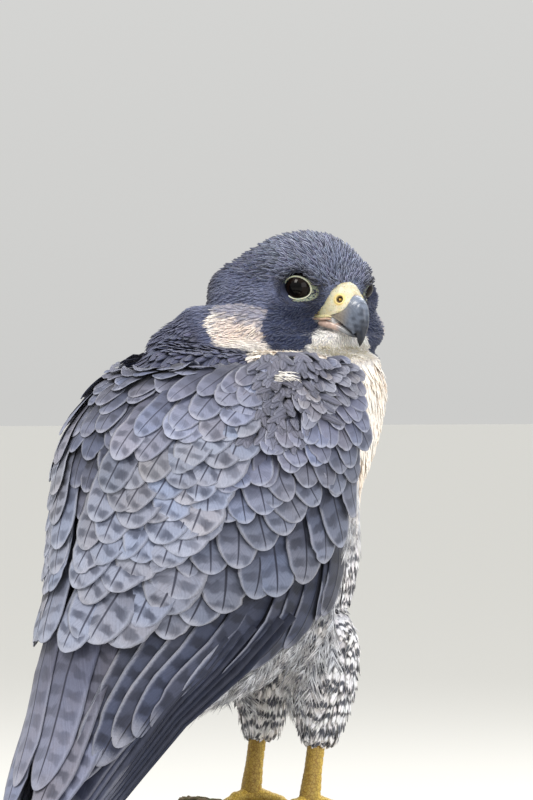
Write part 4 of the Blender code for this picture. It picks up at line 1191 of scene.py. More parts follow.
@dataclass
class Tract:
    """A tract of small feathers scattered on the skin."""

    seed: int
    marks: tuple
    outline: tuple
    section: Section
    droop: float
    thick: float
    rise: float
    sink: float = 0.5
    splay: float = 10.0
    shaft: float = 0.2
    roll: float = 7.0
    vary: float = 0.07
    curl: float = 0.0
    ragged: float = 0.0
    bar_mm: float = 0.0

    def grow(self, ground: Ground, spacing: Callable, size: Callable, traits: Callable,
            detail: tuple = (0, 0, 0.5, 0.3),
             rise: Callable | None = None, way: Callable = lie) -> Feathers:
        """Grows the tract.

        Args:
            ground: the skin to root in.
            spacing: the least gap between roots as a function of points, 0 outside the tract.
            size: feather lengths and widths as a function of the roots.
            traits: bars, bar count, shaft and edge as a function of the roots.
            detail: share of spots, phase, contrast of the barbs and painted shade at the root.
            rise: how far the tips stand off as a function of the roots, or none for the tract's own.
            way: the way the feathers lie, from roots and normals.

        Returns:
            The feathers.
        """
        roots, normals = ground.scatter(spacing, self.seed)
        draw = np.random.default_rng(self.seed + 1)
        many = len(roots)
        ahead = way(roots, normals)
        aside = np.cross(normals, ahead)
        swing = np.radians(draw.normal(0, self.splay, many)
            + ripple(roots, 16, self.seed) * self.splay * 0.8)[:, None]
        ahead = ahead * np.cos(swing) + aside * np.sin(swing)
        long, wide = size(roots)
        long = long * draw.uniform(0.8, 1.2, many)
        wide = wide * draw.uniform(0.85, 1.15, many)
        high = (self.rise if rise is None else rise(roots)) * draw.uniform(0.55, 1.5, many)
        marks = np.array(self.marks, float)
        line = roots[:, None] + ahead[:, None] * (long[:, None] * marks)[..., None]
        sideways = np.cross(normals, ahead)
        bend = draw.normal(0, 0.07, many) * long
        line = line + sideways[:, None] * (bend[:, None] * marks**2)[..., None]
        place, out = ground.nearest(line)
        lift = (-self.sink * (1 - marks) ** 2 + high[:, None] * marks**1.3
            - self.curl * high[:, None] * marks**4)
        centre = place + out * lift[..., None]
        along = unit(np.gradient(centre, axis=1))
        out = tangent(out, along)
        across = np.cross(along, out)
        roll = np.radians(draw.normal(0, self.roll, many))[:, None, None]
        across, out = across * np.cos(roll) + out * np.sin(roll), out * np.cos(roll) - across * np.sin(roll)
        half = wide[:, None] / 2 * np.array(self.outline, float)
        half = half * (1 + draw.normal(0, 0.05 + self.ragged, half.shape)).clip(0.4, 1.5)
        tone = (MARKING.tone((line[:, 1] + line[:, -1]) / 2)
            * draw.normal(1, self.vary, (many, 1)).clip(0.7, 1.3))
        tone = tone * draw.normal(1, self.vary * 0.2, (many, 3))
        notes = np.broadcast_to(np.array(detail, float), (many, 4)).copy()
        notes[:, 1] = draw.random(many)
        marked = np.array(traits(roots))
        if self.bar_mm:
            marked[:, 1] = long / self.bar_mm / 16
            notes[:, 1] = (ripple(roots, 24, self.seed + 2) * 0.3 + draw.normal(0, 0.05, many)
                - roots[:, 2] / self.bar_mm) % 1
        return Feathers(centre, across, out, half, marks, tone, marked, notes, skin_place(roots),
            self.section,
                        self.droop, self.thick, self.shaft)


# Start and length of what the skin's map shows: the head's forward place, and the body's height
HEAD_STRETCH = (-58.0, 90.0)
BODY_STRETCH = (125.0, 225.0)


def skin_place(points: Array) -> Array:
    """Unwraps the skin by angle and height, the head by turn and forward place, over a unit square.

    Roots of the face more than about 36 mm ahead of the skull's middle pass the square's top edge.
    """
    local = SKULL.into(points)
    head = MARKING.head_share(points) > 0.5
    turn = np.degrees(np.arctan2(local[..., 1], local[..., 2])) / 360 + 0.5
    u = np.where(head, turn, MARKING.body_angle(points) / 360 + 0.5)
    v = np.where(head, 0.56 + 0.42 * (local[..., 0] - HEAD_STRETCH[0]) / HEAD_STRETCH[1],
        0.02 + 0.5 * (points[..., 2] - BODY_STRETCH[0]) / BODY_STRETCH[1])
    return np.stack([u * 0.98 + 0.01, v], -1)


OUT_OF_REACH = 99.0


def eye_reach(points: Array) -> Array:
    """Gives how far points lie from the nearer eye's axis, on the outer side of the head."""
    least = np.full(points.shape[:-1], OUT_OF_REACH)
    for side in (1, -1):
        centre, way = SKULL.eye(side)
        offset = points - centre
        deep = (offset * way).sum(-1)
        reach = np.linalg.norm(offset - deep[..., None] * way, axis=-1)
        least = np.minimum(least, np.where(deep > -4, reach, OUT_OF_REACH))
    return least


def cere_edge(up: Array) -> Array:
    """Gives how far forward the feathers' edge lies on the cere at heights of the head."""
    return np.interp(up, [-13, -7, -4, 0, 5, 9, 11.5], [17.5, 15.8, 19.0, 22.0, 23.9, 25.2, 26.8])


def lid_opening(turn: Array) -> Array:
    """Gives the lids' opening round the eye, by turn from forward over upward."""
    wide, tall = LID_WIDE, np.where(np.sin(turn) > 0, LID_HIGH, LID_LOW)
    return (wide * tall / np.hypot(tall * np.cos(turn), wide * np.sin(turn))
        + 0.4 * np.maximum(0, np.cos(turn + 0.45)) ** 12)


def lid_outer(turn: Array) -> Array:
    """Gives where the lids' bare skin ends, broad in front of the eye and narrow over it."""
    low = np.maximum(0, -np.sin(turn))
    return lid_opening(turn) + 0.95 + 0.7 * low + 3.0 * np.maximum(0, np.cos(turn + 0.15)) ** 5


def bare_face(points: Array, margin: float) -> Array:
    """Tells where points lie on the eyes, the cere or the bill, grown by a margin."""
    f, side, up = np.moveaxis(SKULL.into(points), -1, 0)
    side = np.abs(side)
    bare = ((f > cere_edge(up) - margin) & (up > -13.2 - margin) & (up < 11.8 + margin)
        & (side < 12.8 + margin))
    for hand in (1, -1):
        centre, way, ahead, rise = SKULL.eye_frame(hand)
        offset = points - centre
        turn = np.arctan2(offset @ rise, offset @ ahead)
        reach = np.hypot(offset @ rise, offset @ ahead)
        bare |= (offset @ way > -4) & (reach < lid_outer(turn) - 0.35 + margin)
    return bare


# Small plumage


@dataclass
class SmallPlumage:
    """The small feathers of the head, neck, body and thighs."""

    ground: Ground
    look: bpy.types.Material

    def pale(self, points: Array) -> Array:
        """Gives how pale the plumage is, 0 to 1."""
        return ramp(0.18, 0.45, MARKING.tone(points)[..., 1])

    def crown_share(self, points: Array) -> Array:
        """Gives how far points lie on the hood's upper and hind parts, where the feathers are larger."""
        f, side, up = np.moveaxis(SKULL.into(points), -1, 0)
        return np.maximum(ramp(6, 16, up + 0.1 * f), ramp(-16, -28, 0.766 * f + 0.643 * np.abs(side)))

    def head(self) -> list:
        """Grows the hood, then the cheeks, moustache, lores and throat, smallest round the bill and eyes."""
        def near_bill(points: Array) -> Array:
            """Gives how near points lie to the bill or an eye, 0 to 1."""
            f = SKULL.into(points)[..., 0]
            return np.maximum(ramp(8, 27, f), ramp(17, 9, eye_reach(points)))

        def covered(points: Array, crown: bool) -> Array:
            """Tells which points the head's tracts cover, on the crown or off it."""
            return ((MARKING.head_share(points) > 0.3) & ((self.crown_share(points) > 0.5) == crown)
                & ~bare_face(points, 0.0))

        def on_hood(points: Array) -> Array:
            """Gives the spacing on the hood."""
            shown = covered(points, True)
            return np.where(shown, 1.5 - 0.42 * near_bill(points), 0)

        def hood_size(points: Array) -> tuple:
            """Gives the hood's feather lengths and widths."""
            near = near_bill(points)
            return 8.2 - 3.8 * near, 2.5 - 1.15 * near

        def hood_traits(points: Array) -> Array:
            """Gives the hood's streaks."""
            f = SKULL.into(points)[..., 0]
            shaft = 0.45 + 0.55 * ramp(-30, 0, f)
            none = np.zeros(len(points))
            return np.stack([none, none, shaft, 0.45 + 0.3 * ramp(-20, 5, f)], -1)

        def on_face(points: Array) -> Array:
            """Gives the spacing on the face, cheeks and throat."""
            shown = covered(points, False)
            pale = self.pale(points)
            return np.where(shown, 1.14 - 0.32 * near_bill(points) - 0.1 * pale, 0)

        def face_size(points: Array) -> tuple:
            """Gives the face's feather lengths and widths."""
            near, pale = near_bill(points), self.pale(points)
            return 5.4 - 2.9 * near + 2.4 * pale * (1 - near), 1.25 - 0.55 * near - 0.35 * pale * (1 - near)

        def face_traits(points: Array) -> Array:
            """Gives the face's shafts and edges."""
            dark, none = 1 - self.pale(points), np.zeros(len(points))
            return np.stack([none, none, dark * 0.3, dark * 0.4], -1)

        marks, outline = (0, 0.3, 0.62, 0.86, 1.0), (0.55, 1.0, 0.92, 0.55, 0.06)
        hood = Coat("coat_hood")
        tract = Tract(21, marks, outline, SPIKE, 0.45, 0.2, 1.7, 0.4, 8.0, 0.32, 9.0, 0.13)
        hood.add(tract.grow(self.ground, on_hood, hood_size, hood_traits, (0, 0, 0.9, 0.7)))
        face = Coat("coat_face")
        tract = Tract(22, marks, outline, SPIKE, 0.35, 0.2, 0.75, 0.4, 10.0, 0.12, 9.0, 0.07)
        face.add(tract.grow(self.ground, on_face, face_size, face_traits, (0, 0, 0.5, 0.3)))
        return [place_piece(coat.build(self.look), Slot.HOOD) for coat in (hood, face)]

    def body(self) -> list:
        """Grows the neck and breast, then the belly, flanks and thighs."""
        def shown(points: Array) -> Array:
            """Tells which points the body's tracts cover, away from the wings and mantle."""
            angle = np.abs(MARKING.body_angle(points))
            limit = np.interp(points[..., 2], [165, 185, 260, 300, 320, 332, 345],
                [62, 84, 98, 84, 62, 40, 0])
            return (MARKING.head_share(points) <= 0.45) & (angle > limit)

        def on_breast(points: Array) -> Array:
            """Gives the spacing on the neck and breast."""
            ok = shown(points) & (points[..., 2] > 252)
            return np.where(ok, 1.25 + 0.75 * ramp(335, 300, points[..., 2]), 0)

        def breast_size(points: Array) -> tuple:
            """Gives the breast's feather lengths and widths."""
            low = ramp(345, 300, points[..., 2])
            return 8.0 + 9.0 * low, 1.8 + 2.6 * low

        def plain(points: Array) -> Array:
            """Gives no markings."""
            return np.zeros((len(points), 4))

        def on_belly(points: Array) -> Array:
            """Gives the spacing on the belly, flanks and thighs."""
            ok = shown(points) & (points[..., 2] <= 255)
            return np.where(ok, 2.7 - 0.7 * ramp(190, 160, points[..., 2]), 0)

        def belly_size(points: Array) -> tuple:
            """Gives the belly's feather lengths and widths."""
            thigh = ramp(190, 160, points[..., 2])
            return 21.0 - 9.0 * thigh, 5.4 - 2.4 * thigh

        def barred(points: Array) -> Array:
            """Gives the bars of the belly and thighs."""
            many = len(points)
            return np.stack([1.85 * ramp(262, 236, points[..., 2]),
                (2.4 - 0.9 * ramp(190, 160, points[..., 2])) / 16, np.full(many, 0.15),
                             np.zeros(many)], -1)

        def on_nape(points: Array) -> Array:
            """Gives the spacing on the hind neck and upper back, under the shoulder feathers' edge."""
            angle = np.abs(MARKING.body_angle(points))
            ok = ((MARKING.head_share(points) <= 0.45) & (points[..., 2] > 304) & ~shown(points)
                & (angle < 95))
            return np.where(ok, 1.7 + 0.9 * ramp(345, 322, points[..., 2]), 0)

        def nape_size(points: Array) -> tuple:
            """Gives the hind neck's feather lengths and widths."""
            low = ramp(345, 322, points[..., 2])
            return 8.5 + 5.0 * low, 2.8 + 3.0 * low

        def nape_traits(points: Array) -> Array:
            """Gives the hind neck's shafts and pale edges."""
            none = np.zeros(len(points))
            return np.stack([none, none, none + 0.5, 0.3 + 0.3 * ramp(345, 322, points[..., 2])], -1)

        def within(rule: Callable, low: float, high: float) -> Callable:
            """Keeps a rule of spacing to a range of heights."""
            return lambda points: np.where((points[..., 2] > low) & (points[..., 2] <= high),
                rule(points), 0)

        marks = (0, 0.25, 0.5, 0.75, 0.92, 1.0)
        breast = Tract(31, marks, (0.45, 0.9, 1.0, 0.85, 0.5, 0.05), LENS, 0.3, 0.25, 1.4, 0.6, 5.0, 0.1,
            4.0, 0.03)
        belly = Tract(33, marks, (0.45, 0.9, 1.0, 0.85, 0.55, 0.08), LENS, 0.3, 0.25, 2.3, 0.8, 7.0, 0.06,
            8.0, 0.04,
                      bar_mm=8.0)
        pieces = []
        for name, tract, rule, low, high, size, traits, detail in (
            ("coat_neck", breast, on_breast, 296, 400, breast_size, plain, (0, 0, 0.14, 0.05)),
            ("coat_breast", breast, on_breast, 250, 296, breast_size, plain, (0, 0, 0.14, 0.05)),
            ("coat_belly", belly, on_belly, 190, 256, belly_size, barred, (0, 0, 0.3, 0.12)),
            ("coat_thighs", belly, on_belly, 100, 190, belly_size, barred, (0, 0, 0.3, 0.12)),
        ):
            coat = Coat(name)
            coat.add(tract.grow(self.ground, within(rule, low, high), size, traits, detail))
            pieces.append(coat)
        nape = Coat("coat_nape")
        tract = Tract(35, marks, (0.45, 0.9, 1.0, 0.9, 0.6, 0.08), LENS, 0.35, 0.25, 2.0,
                      0.6, 7.0, 0.1, 7.0, 0.09)
        nape.add(tract.grow(self.ground, on_nape, nape_size, nape_traits, (0, 0, 0.6, 0.5)))
        return [place_piece(coat.build(self.look), Slot.BODY) for coat in (*pieces, nape)]


@dataclass
class Plumes:
    """The long loose flank feathers that hang out from under a wing's front edge."""

    ground: Ground
    look: bpy.types.Material
    side: int
    count: int = 120
    barbs: int = 15
    pale: str = "#eceef3"
    dark: str = "#3d4152"

    def strands(self, base: Array, ahead: Array, out: Array, long: Array, wide: Array, tone: Array,
            place: Array,
                sag: Array) -> Feathers:
        """Makes thin strands that bow a little towards the body.

        Args:
            base: where they start.
            ahead: the way they run.
            out: the outward direction.
            long: their lengths.
            wide: their widths.
            tone: their colours by station.
            place: their bake places.
            sag: how far their tips bend along the lie.

        Returns:
            The strands.
        """
        marks = np.array([0, 0.5, 1.0])
        centre = (base[:, None] + ahead[:, None] * (long[:, None] * marks)[..., None]
            + sag[:, None] * (marks**2)[:, None])
        along = unit(np.gradient(centre, axis=1))
        spread = np.broadcast_to(out[:, None], centre.shape)
        spread = tangent(spread, along)
        half = wide[:, None] / 2 * np.array([1.0, 0.8, 0.2])
        none = np.zeros((len(base), 4))
        return Feathers(centre, np.cross(along, spread), spread, half, marks, tone, none, none, place, SPIKE,
            0.5, 0.1)

    def build(self, name: str) -> bpy.types.Object:
        """Makes one flank's plumes."""
        draw = np.random.default_rng(41)
        many, barbs = self.count, self.barbs
        height = draw.uniform(158, 272, many)
        angle = np.interp(height, [150, 200, 272], [118, 112, 116]) + draw.uniform(-16, 20, many)
        start, out = self.ground.nearest(TRUNK.point(height, angle * self.side))
        down = tangent(np.broadcast_to(np.array([-0.30, 0, -1.0]), start.shape), out)
        aside = np.cross(out, down) * self.side
        swing = np.radians(draw.normal(-6, 9, many))[:, None]
        down = down * np.cos(swing) + aside * np.sin(swing)
        long = draw.uniform(30, 46, many)
        high = draw.uniform(2.5, 7.0, many)
        t = np.linspace(0, 1, 9)
        line = start[:, None] + down[:, None] * (long[:, None] * t)[..., None]
        place, around = self.ground.nearest(line)
        centre = place + around * (1.0 + (high - 1.0)[:, None] * t**0.8)[..., None]
        along = unit(np.gradient(centre, axis=1))
        around = tangent(around, along)
        light, dark = tint(self.pale), tint(self.dark)
        phase = draw.random(many)

        def tones(at: Array, plume: Array) -> Array:
            """Gives the bars' colours at places along plumes."""
            wave = np.sin(math.tau * (at * long[plume] / 10.0 + phase[plume]))
            bar = (ramp(0.1, 0.75, wave) * ramp(0.25, 0.4, at)
                * ramp(268, 225, height[plume] - at * long[plume]))
            return light + (dark - light) * (bar * 0.92)[..., None]

        coat = Coat(name)
        bake = skin_place(start)
        who = np.arange(many)
        stations = np.broadcast_to(t, (many, 9))
        none = np.zeros((many, 4))
        shaft_half = np.broadcast_to(0.22 * (1 - 0.7 * t), (many, 9))
        coat.add(Feathers(centre, np.cross(along, around), around, shaft_half, t,
            tones(stations, who[:, None].repeat(9, 1)),
                          none, none, bake, SPIKE, 0.4, 0.15))
        for hand in (1, -1):
            plume = who.repeat(barbs)
            at = np.tile(np.linspace(0.12, 0.97, barbs), many) + draw.uniform(-0.03, 0.03, many * barbs)
            at = at.clip(0, 0.999)
            k = (at * 8).astype(int)
            part = (at * 8 - k)[:, None]
            base = centre[plume, k] * (1 - part) + centre[plume, k + 1] * part
            ahead, up = along[plume, k], around[plume, k]
            lean = np.radians(draw.uniform(18, 38, len(at)))[:, None]
            way = ahead * np.cos(lean) + np.cross(ahead, up) * hand * np.sin(lean)
            reach = (4.5 + 7.5 * np.sin(math.pi * (0.25 + 0.7 * at))) * draw.uniform(0.75, 1.2, len(at))
            mark = np.stack([at, at + reach * 0.4 / long[plume], at + reach * 0.8 / long[plume]], -1)
            sag = ahead * (reach * 0.22)[:, None] - up * (reach * draw.uniform(0, 0.2, len(at)))[:, None]
            coat.add(self.strands(base, way, up, reach, draw.uniform(0.4, 0.9, len(at)),
                tones(mark, plume[:, None].repeat(3, 1)),
                                  bake[plume], sag))
        return place_piece(coat.build(self.look), Slot.BODY)


# Wings, mantle and tail


@dataclass(frozen=True)
class Row:
    """A row of vanes, by tables of height and angle along it from its outer end (0) to its inner (1)."""

    name: str
    count: int
    roots: tuple
    tips: tuple
    width: float
    tip_lift: tuple
    root_lift: tuple
    tilt: float
    tone: str
    tip_tone: str
    bars: float = 0.0
    bar_mm: float = 7.5
    spots: float = 0.0
    shaft: float = 0.8
    edge: float = 0.5
    blade: bool = False
    stack: float = 0.0
    scatter: float = 1.0


ROWS = [
    Row("primary", 9, ((0, 205, 92), (1, 188, 56)), ((0, 36.5, 62), (0.5, 70, 52), (1, 122, 40)), 17,
        (-8.5, -4.5), (-10, -7), 0.1, "#3c4154", "#31354a", 0.3, 9, 0, 0.9, 0.5, True, 1.0, 0.3),
    Row("secondary", 11, ((0, 240, 120), (0.5, 243, 90), (1, 246, 50)),
        ((0, 196, 121), (0.1, 189, 117), (0.2, 178, 112), (0.35, 165, 102), (0.6, 148, 82), (1, 120, 42)),
        22,
        (-3.2, -0.6), (-7.5, -6.8), 0.16, "#3f4457", "#3a3f53", 0.85, 11, 0.45, 0.9, 0.9, True),
    Row("tertial", 4, ((0, 236, 40), (1, 230, 12)), ((0, 112, 36), (0.5, 100, 26), (1, 112, 13)), 30,
        (0.8, 2.6), (-6.0, -5.6), -0.06, "#666a80", "#777b90", 0.8, 11, 0.6, 0.9, 0.6, True),
    Row("great_covert", 9, ((0, 285, 110), (0.5, 262, 80), (1, 238, 48)),
        ((0, 246, 123), (0.1, 234, 117), (0.25, 222, 106), (0.4, 214, 96), (0.55, 207, 84), (0.8, 196, 65),
            (1, 190, 50)),
        27, (-0.2, 1.0), (-6.6, -6.2), 0.1, "#565c70", "#6e7486", 0.75, 9.5, 0.5, 0.95, 1.0),
    Row("mid_covert", 10, ((0, 292, 106), (0.5, 276, 78), (1, 250, 50)),
        ((0, 266, 118), (0.3, 254, 100), (0.5, 242, 88), (0.8, 224, 68), (1, 215, 52)),
        23, (1.0, 1.8), (-5.8, -5.4), 0.1, "#5d6377", "#757b8e", 0.7, 8.5, 0.55, 0.9, 1.0),
    Row("small_covert_1", 11, ((0, 302, 105), (1, 268, 52)), ((0, 277, 117), (0.4, 258, 93), (1, 239, 54)),
        19.5, (1.8, 2.6), (-5.0, -4.6), 0.1, "#60657a", "#787e92", 0.6, 7.5, 0.55, 0.9, 1.0),
    Row("small_covert_2", 11, ((0, 311, 99), (1, 286, 60)), ((0, 288, 114), (0.4, 272, 92), (1, 259, 61)),
        16.5, (2.4, 3.2), (-4.6, -4.2), 0.1, "#63677e", "#7e839a", 0.35, 7, 0.7, 0.85, 1.0),
    Row("small_covert_3", 11, ((0, 320, 98), (1, 304, 72)), ((0, 299, 110), (0.4, 285, 93), (1, 278, 72)),
        13.5, (3.0, 3.8), (-4.0, -3.6), 0.1, "#63667c", "#7e8298", 0.25, 6, 0.6, 0.8, 1.0),
    Row("marginal_covert_1", 10, ((0, 325, 98), (1, 315, 78)), ((0, 307, 107), (0.5, 299, 93), (1, 292, 78)),
        11, (3.4, 4.4), (-3.4, -3.0), 0.1, "#646679", "#808290", 0.1, 6, 0.5, 0.7, 1.0),
    Row("marginal_covert_2", 10, ((0, 329, 96), (1, 321, 79)), ((0, 314, 105), (0.5, 307, 93), (1, 300, 79)),
        9.5, (3.8, 4.7), (-3.0, -2.7), 0.1, "#656779", "#828490", 0, 6, 0.5, 0.6, 1.0),
    Row("marginal_covert_3", 9, ((0, 332, 94), (1, 326, 79)), ((0, 320, 102), (0.5, 314, 91), (1, 308, 80)),
        8.5, (4.0, 4.9), (-2.8, -2.5), 0.1, "#636577", "#7f818f", 0, 6, 0.5, 0.5, 0.95),
    Row("marginal_covert_4", 8, ((0, 335, 91), (1, 331, 80)), ((0, 326, 98), (1, 317, 81)),
        7.5, (4.0, 4.9), (-2.5, -2.3), 0.1, "#606274", "#7b7d8d", 0, 6, 0.5, 0.4, 0.9),
    Row("long_scapular", 7, ((0, 258, 49), (0.5, 250, 43), (1, 244, 18)),
        ((0, 210, 50), (0.5, 186, 32), (1, 182, 7)),
        29, (2.4, 3.6), (-5.6, -5.2), -0.05, "#686e82", "#868c9f", 1.0, 10, 0.6, 0.9, 0.7),
    Row("mid_scapular", 8, ((0, 284, 52), (0.5, 274, 46), (1, 264, 19)),
        ((0, 236, 53), (0.5, 216, 34), (1, 208, 7)),
        27, (3.2, 4.2), (-5.4, -5.0), -0.05, "#6c7287", "#8a90a3", 1.0, 9.5, 0.6, 0.9, 0.7),
    Row("low_scapular", 8, ((0, 296, 54), (0.5, 286, 47), (1, 275, 20)),
        ((0, 249, 55), (0.5, 230, 36), (1, 220, 8)),
        26, (3.6, 4.6), (-5.2, -4.8), -0.05, "#6c7287", "#8a90a3", 1.0, 9.5, 0.6, 0.9, 0.7),
    Row("near_scapular", 8, ((0, 307, 56), (0.5, 297, 49), (1, 287, 21)),
        ((0, 262, 57), (0.5, 244, 37), (1, 232, 9)),
        25, (4.0, 5.0), (-5.0, -4.6), -0.05, "#6b7186", "#898fa2", 1.0, 9, 0.65, 0.9, 0.7),
    Row("inner_scapular", 8, ((0, 315, 59), (0.5, 305, 51), (1, 295, 24)),
        ((0, 274, 59), (0.5, 257, 40), (1, 245, 12)),
        23, (4.3, 5.3), (-4.6, -4.2), -0.05, "#6a7085", "#878da0", 0.95, 8.5, 0.65, 0.9, 0.7),
    Row("small_scapular", 8, ((0, 323, 61), (0.5, 314, 53), (1, 304, 27)),
        ((0, 286, 61), (0.5, 270, 43), (1, 258, 15)),
        21, (4.5, 5.6), (-4.2, -3.8), -0.05, "#666c81", "#828899", 0.9, 8, 0.65, 0.9, 0.75),
    Row("top_scapular", 8, ((0, 331, 64), (0.5, 325, 57), (1, 316, 32)),
        ((0, 300, 64), (0.5, 284, 48), (1, 272, 20)),
        18.5, (4.6, 5.6), (-3.6, -3.2), -0.05, "#676b81", "#83889e", 0.75, 7.5, 0.9, 0.85, 0.75),
    Row("high_scapular", 7, ((0, 335, 67), (0.5, 331, 60), (1, 325, 38)),
        ((0, 311, 66), (0.5, 298, 53), (1, 287, 26)),
        16, (4.4, 5.4), (-3.2, -3.0), -0.05, "#62667c", "#7b8096", 0.6, 7, 0.8, 0.8, 0.75),
    Row("shoulder_scapular", 7, ((0, 338, 69), (0.5, 336, 63), (1, 331, 44)),
        ((0, 321, 69), (0.5, 312, 58), (1, 303, 34)),
        13.5, (4.2, 5.2), (-2.8, -2.6), -0.05, "#5c6076", "#747991", 0.4, 7, 0.6, 0.7, 0.75),
]
# Tip height, and the angle on either side where the mantle goes under the shoulder feathers
MANTLE_ROWS = ((248, 12), (262, 14), (276, 14), (288, 15), (299, 17), (308, 23), (315, 31), (321, 38))


def wing_place(angle: Array, height: Array) -> Array:
    """Unwraps the folded wings' form by angle and height to a unit square."""
    return np.stack([(angle + 135) / 270, (height - 150) / 200], -1)


def wing_lines(heights: Array, angles: Array) -> tuple[Array, Array, Array]:
    """Gives lines over the folded wings' form, with the ways along them and out of it."""
    centre = PLUMAGE.point(heights, angles)
    along = unit(np.gradient(centre, axis=1))
    return centre, along, tangent(PLUMAGE.normal(heights, angles), along)


@dataclass
class Vanes:
    """Lays rows of broad vanes over one another on the plumage's form."""

    look: bpy.types.Material
    draw: np.random.Generator

    def stations(self, long: float, width: float, blade: bool) -> tuple[Array, Array]:
        """Gives where a vane's stations lie and its half widths there, rounded at the tip."""
        start = 1 - min(0.55, (0.95 if blade else 0.68) * width / long)
        tip = start + (1 - start) * np.sin(np.arange(1, 9) * math.pi / 16)
        marks = np.concatenate([np.linspace(0, start, 7), tip])
        marks[-1] = 1.0
        body = 0.5 + 0.5 * ramp(0, 0.45, marks) - (0.12 * ramp(0.4, 1, marks) if blade else 0)
        fall = np.clip((marks - start) / (1 - start), 0, 1) ** (1.7 if blade else 2.1)
        return marks, body * np.sqrt(np.maximum(1 - fall, 0.002))

    def edges(self, many: int, count: int) -> tuple[Array, Array]:
        """Draws the vanes' uneven edges and their waves."""
        uneven = 1 + self.draw.normal(0, 0.018, (many, count, 2))
        for k in range(many):
            for side in (0, 1):
                if self.draw.random() < 0.45:
                    at = int(self.draw.integers(5, count - 3))
                    uneven[k, at, side] -= self.draw.uniform(0.05, 0.16)
        t = np.linspace(0, 1, count)[None, :, None]
        phase, speed = self.draw.uniform(0, math.tau, (many, 1, 2)), self.draw.uniform(4, 9, (many, 1, 2))
        wave = np.sin(phase + speed * t) * self.draw.uniform(0.1, 0.45, (many, 1, 2)) * ramp(0.2, 0.6, t)
        return uneven, wave

    def curve(self, height: Array, angle: Array, half: Array) -> Array:
        """Gives how much each vane droops across to follow the form under it."""
        low, mid, high = (PLUMAGE.point(height, angle + step) for step in (-4.0, 0, 4.0))
        chord = np.linalg.norm(high - low, axis=-1)
        sag = np.linalg.norm((high + low) / 2 - mid, axis=-1)
        radius = np.maximum(22.0, chord**2 / (8 * np.maximum(sag, 1e-3)))
        return (half / (2 * radius)).max(axis=1) * 0.9 + 0.03

    def row(self, row: Row, side: int) -> Feathers:
        """Lays one row.

        Args:
            row: the row's tables.
            side: +1 on the right, -1 on the left.

        Returns:
            The row's feathers.
        """
        draw, many = self.draw, row.count
        share = np.linspace(0, 1, many)
        roots, tips = Table(list(row.roots))(share), Table(list(row.tips))(share)
        tips = tips + draw.normal(0, 1, tips.shape) * np.array([1.9, 1.1]) * row.scatter
        roots = roots + draw.normal(0, 1, roots.shape) * np.array([1.2, 0.9]) * row.scatter
        for ends in (roots, tips):
            ends[:, 0] -= 0.5 * np.maximum(0, ends[:, 0] - 317)
        long = np.linalg.norm(PLUMAGE.point(*tips.T) - PLUMAGE.point(*roots.T), axis=-1)
        marks, outline = self.stations(float(long.mean()), row.width, row.blade)
        height = roots[:, :1] + (tips[:, :1] - roots[:, :1]) * marks
        angle = roots[:, 1:] + (tips[:, 1:] - roots[:, 1:]) * marks
        angle = (angle + draw.normal(0, 1.3, (many, 1)) * row.scatter * np.sin(marks * math.pi)) * side
        centre = PLUMAGE.point(height, angle)
        out = PLUMAGE.normal(height, angle)
        if row.stack:
            shared = unit(np.array([-0.80, -0.36 * side, 0.42]))
            out = unit(out * (1 - row.stack) + shared * row.stack)
        along = unit(np.gradient(centre, axis=1))
        out = tangent(out, along)
        across = np.cross(along, out) * side
        high = np.interp(share, [0, 1], row.tip_lift)[:, None] + draw.normal(0, 0.3, (many, 1)) * row.scatter
        low = np.interp(share, [0, 1], row.root_lift)[:, None]
        lift = low + (high - low) * np.minimum(1, marks * 1.08) ** 0.85 - 0.35 * ramp(0.85, 1, marks)
        lean = np.sign(angle[:, :1] * side) * row.tilt + draw.normal(0, 0.035, (many, 1)) * row.scatter
        lean = (np.arctan(lean) + draw.normal(0, 0.05, (many, 1)) * row.scatter * marks)[..., None]
        across, out = across * np.cos(lean) + out * np.sin(lean), out * np.cos(lean) - across * np.sin(lean)
        centre = centre + out * lift[..., None]
        half = row.width * draw.uniform(0.9, 1.08, (many, 1)) / 2 * outline
        uneven, wave = self.edges(many, len(marks))
        base, end = tint(row.tone), tint(row.tip_tone)
        tone = ((base + (end - base) * ramp(0.5, 1.0, marks)[:, None])[None]
            * draw.normal(1, 0.075, (many, 1, 1)).clip(0.8, 1.2))
        warm = draw.normal(0, 0.032, (many, 1, 1))
        tone = tone * (1 + warm * np.array([1.1, 0.1, -1.2]))
        traits = np.broadcast_to(np.array([row.bars, 0, row.shaft, row.edge]), (many, 4)).copy()
        traits[:, 0] *= draw.uniform(0.65, 1.2, many)
        traits[:, 1] = long / row.bar_mm / 16 * draw.uniform(0.88, 1.12, many)
        traits[:, 3] *= draw.uniform(0.6, 1.1, many)
        detail = np.broadcast_to(np.array([row.spots, 0, 0.55, 0.62]), (many, 4)).copy()
        detail[:, 1] = draw.random(many)
        place = np.stack([(roots[:, 1] * side + 135) / 270, (roots[:, 0] - 150) / 200], -1)
        return Feathers(centre, across, out, half, marks, tone, traits, detail, place, VANE,
                        self.curve(height, angle, half), 0.4, 0.032, wave, uneven)

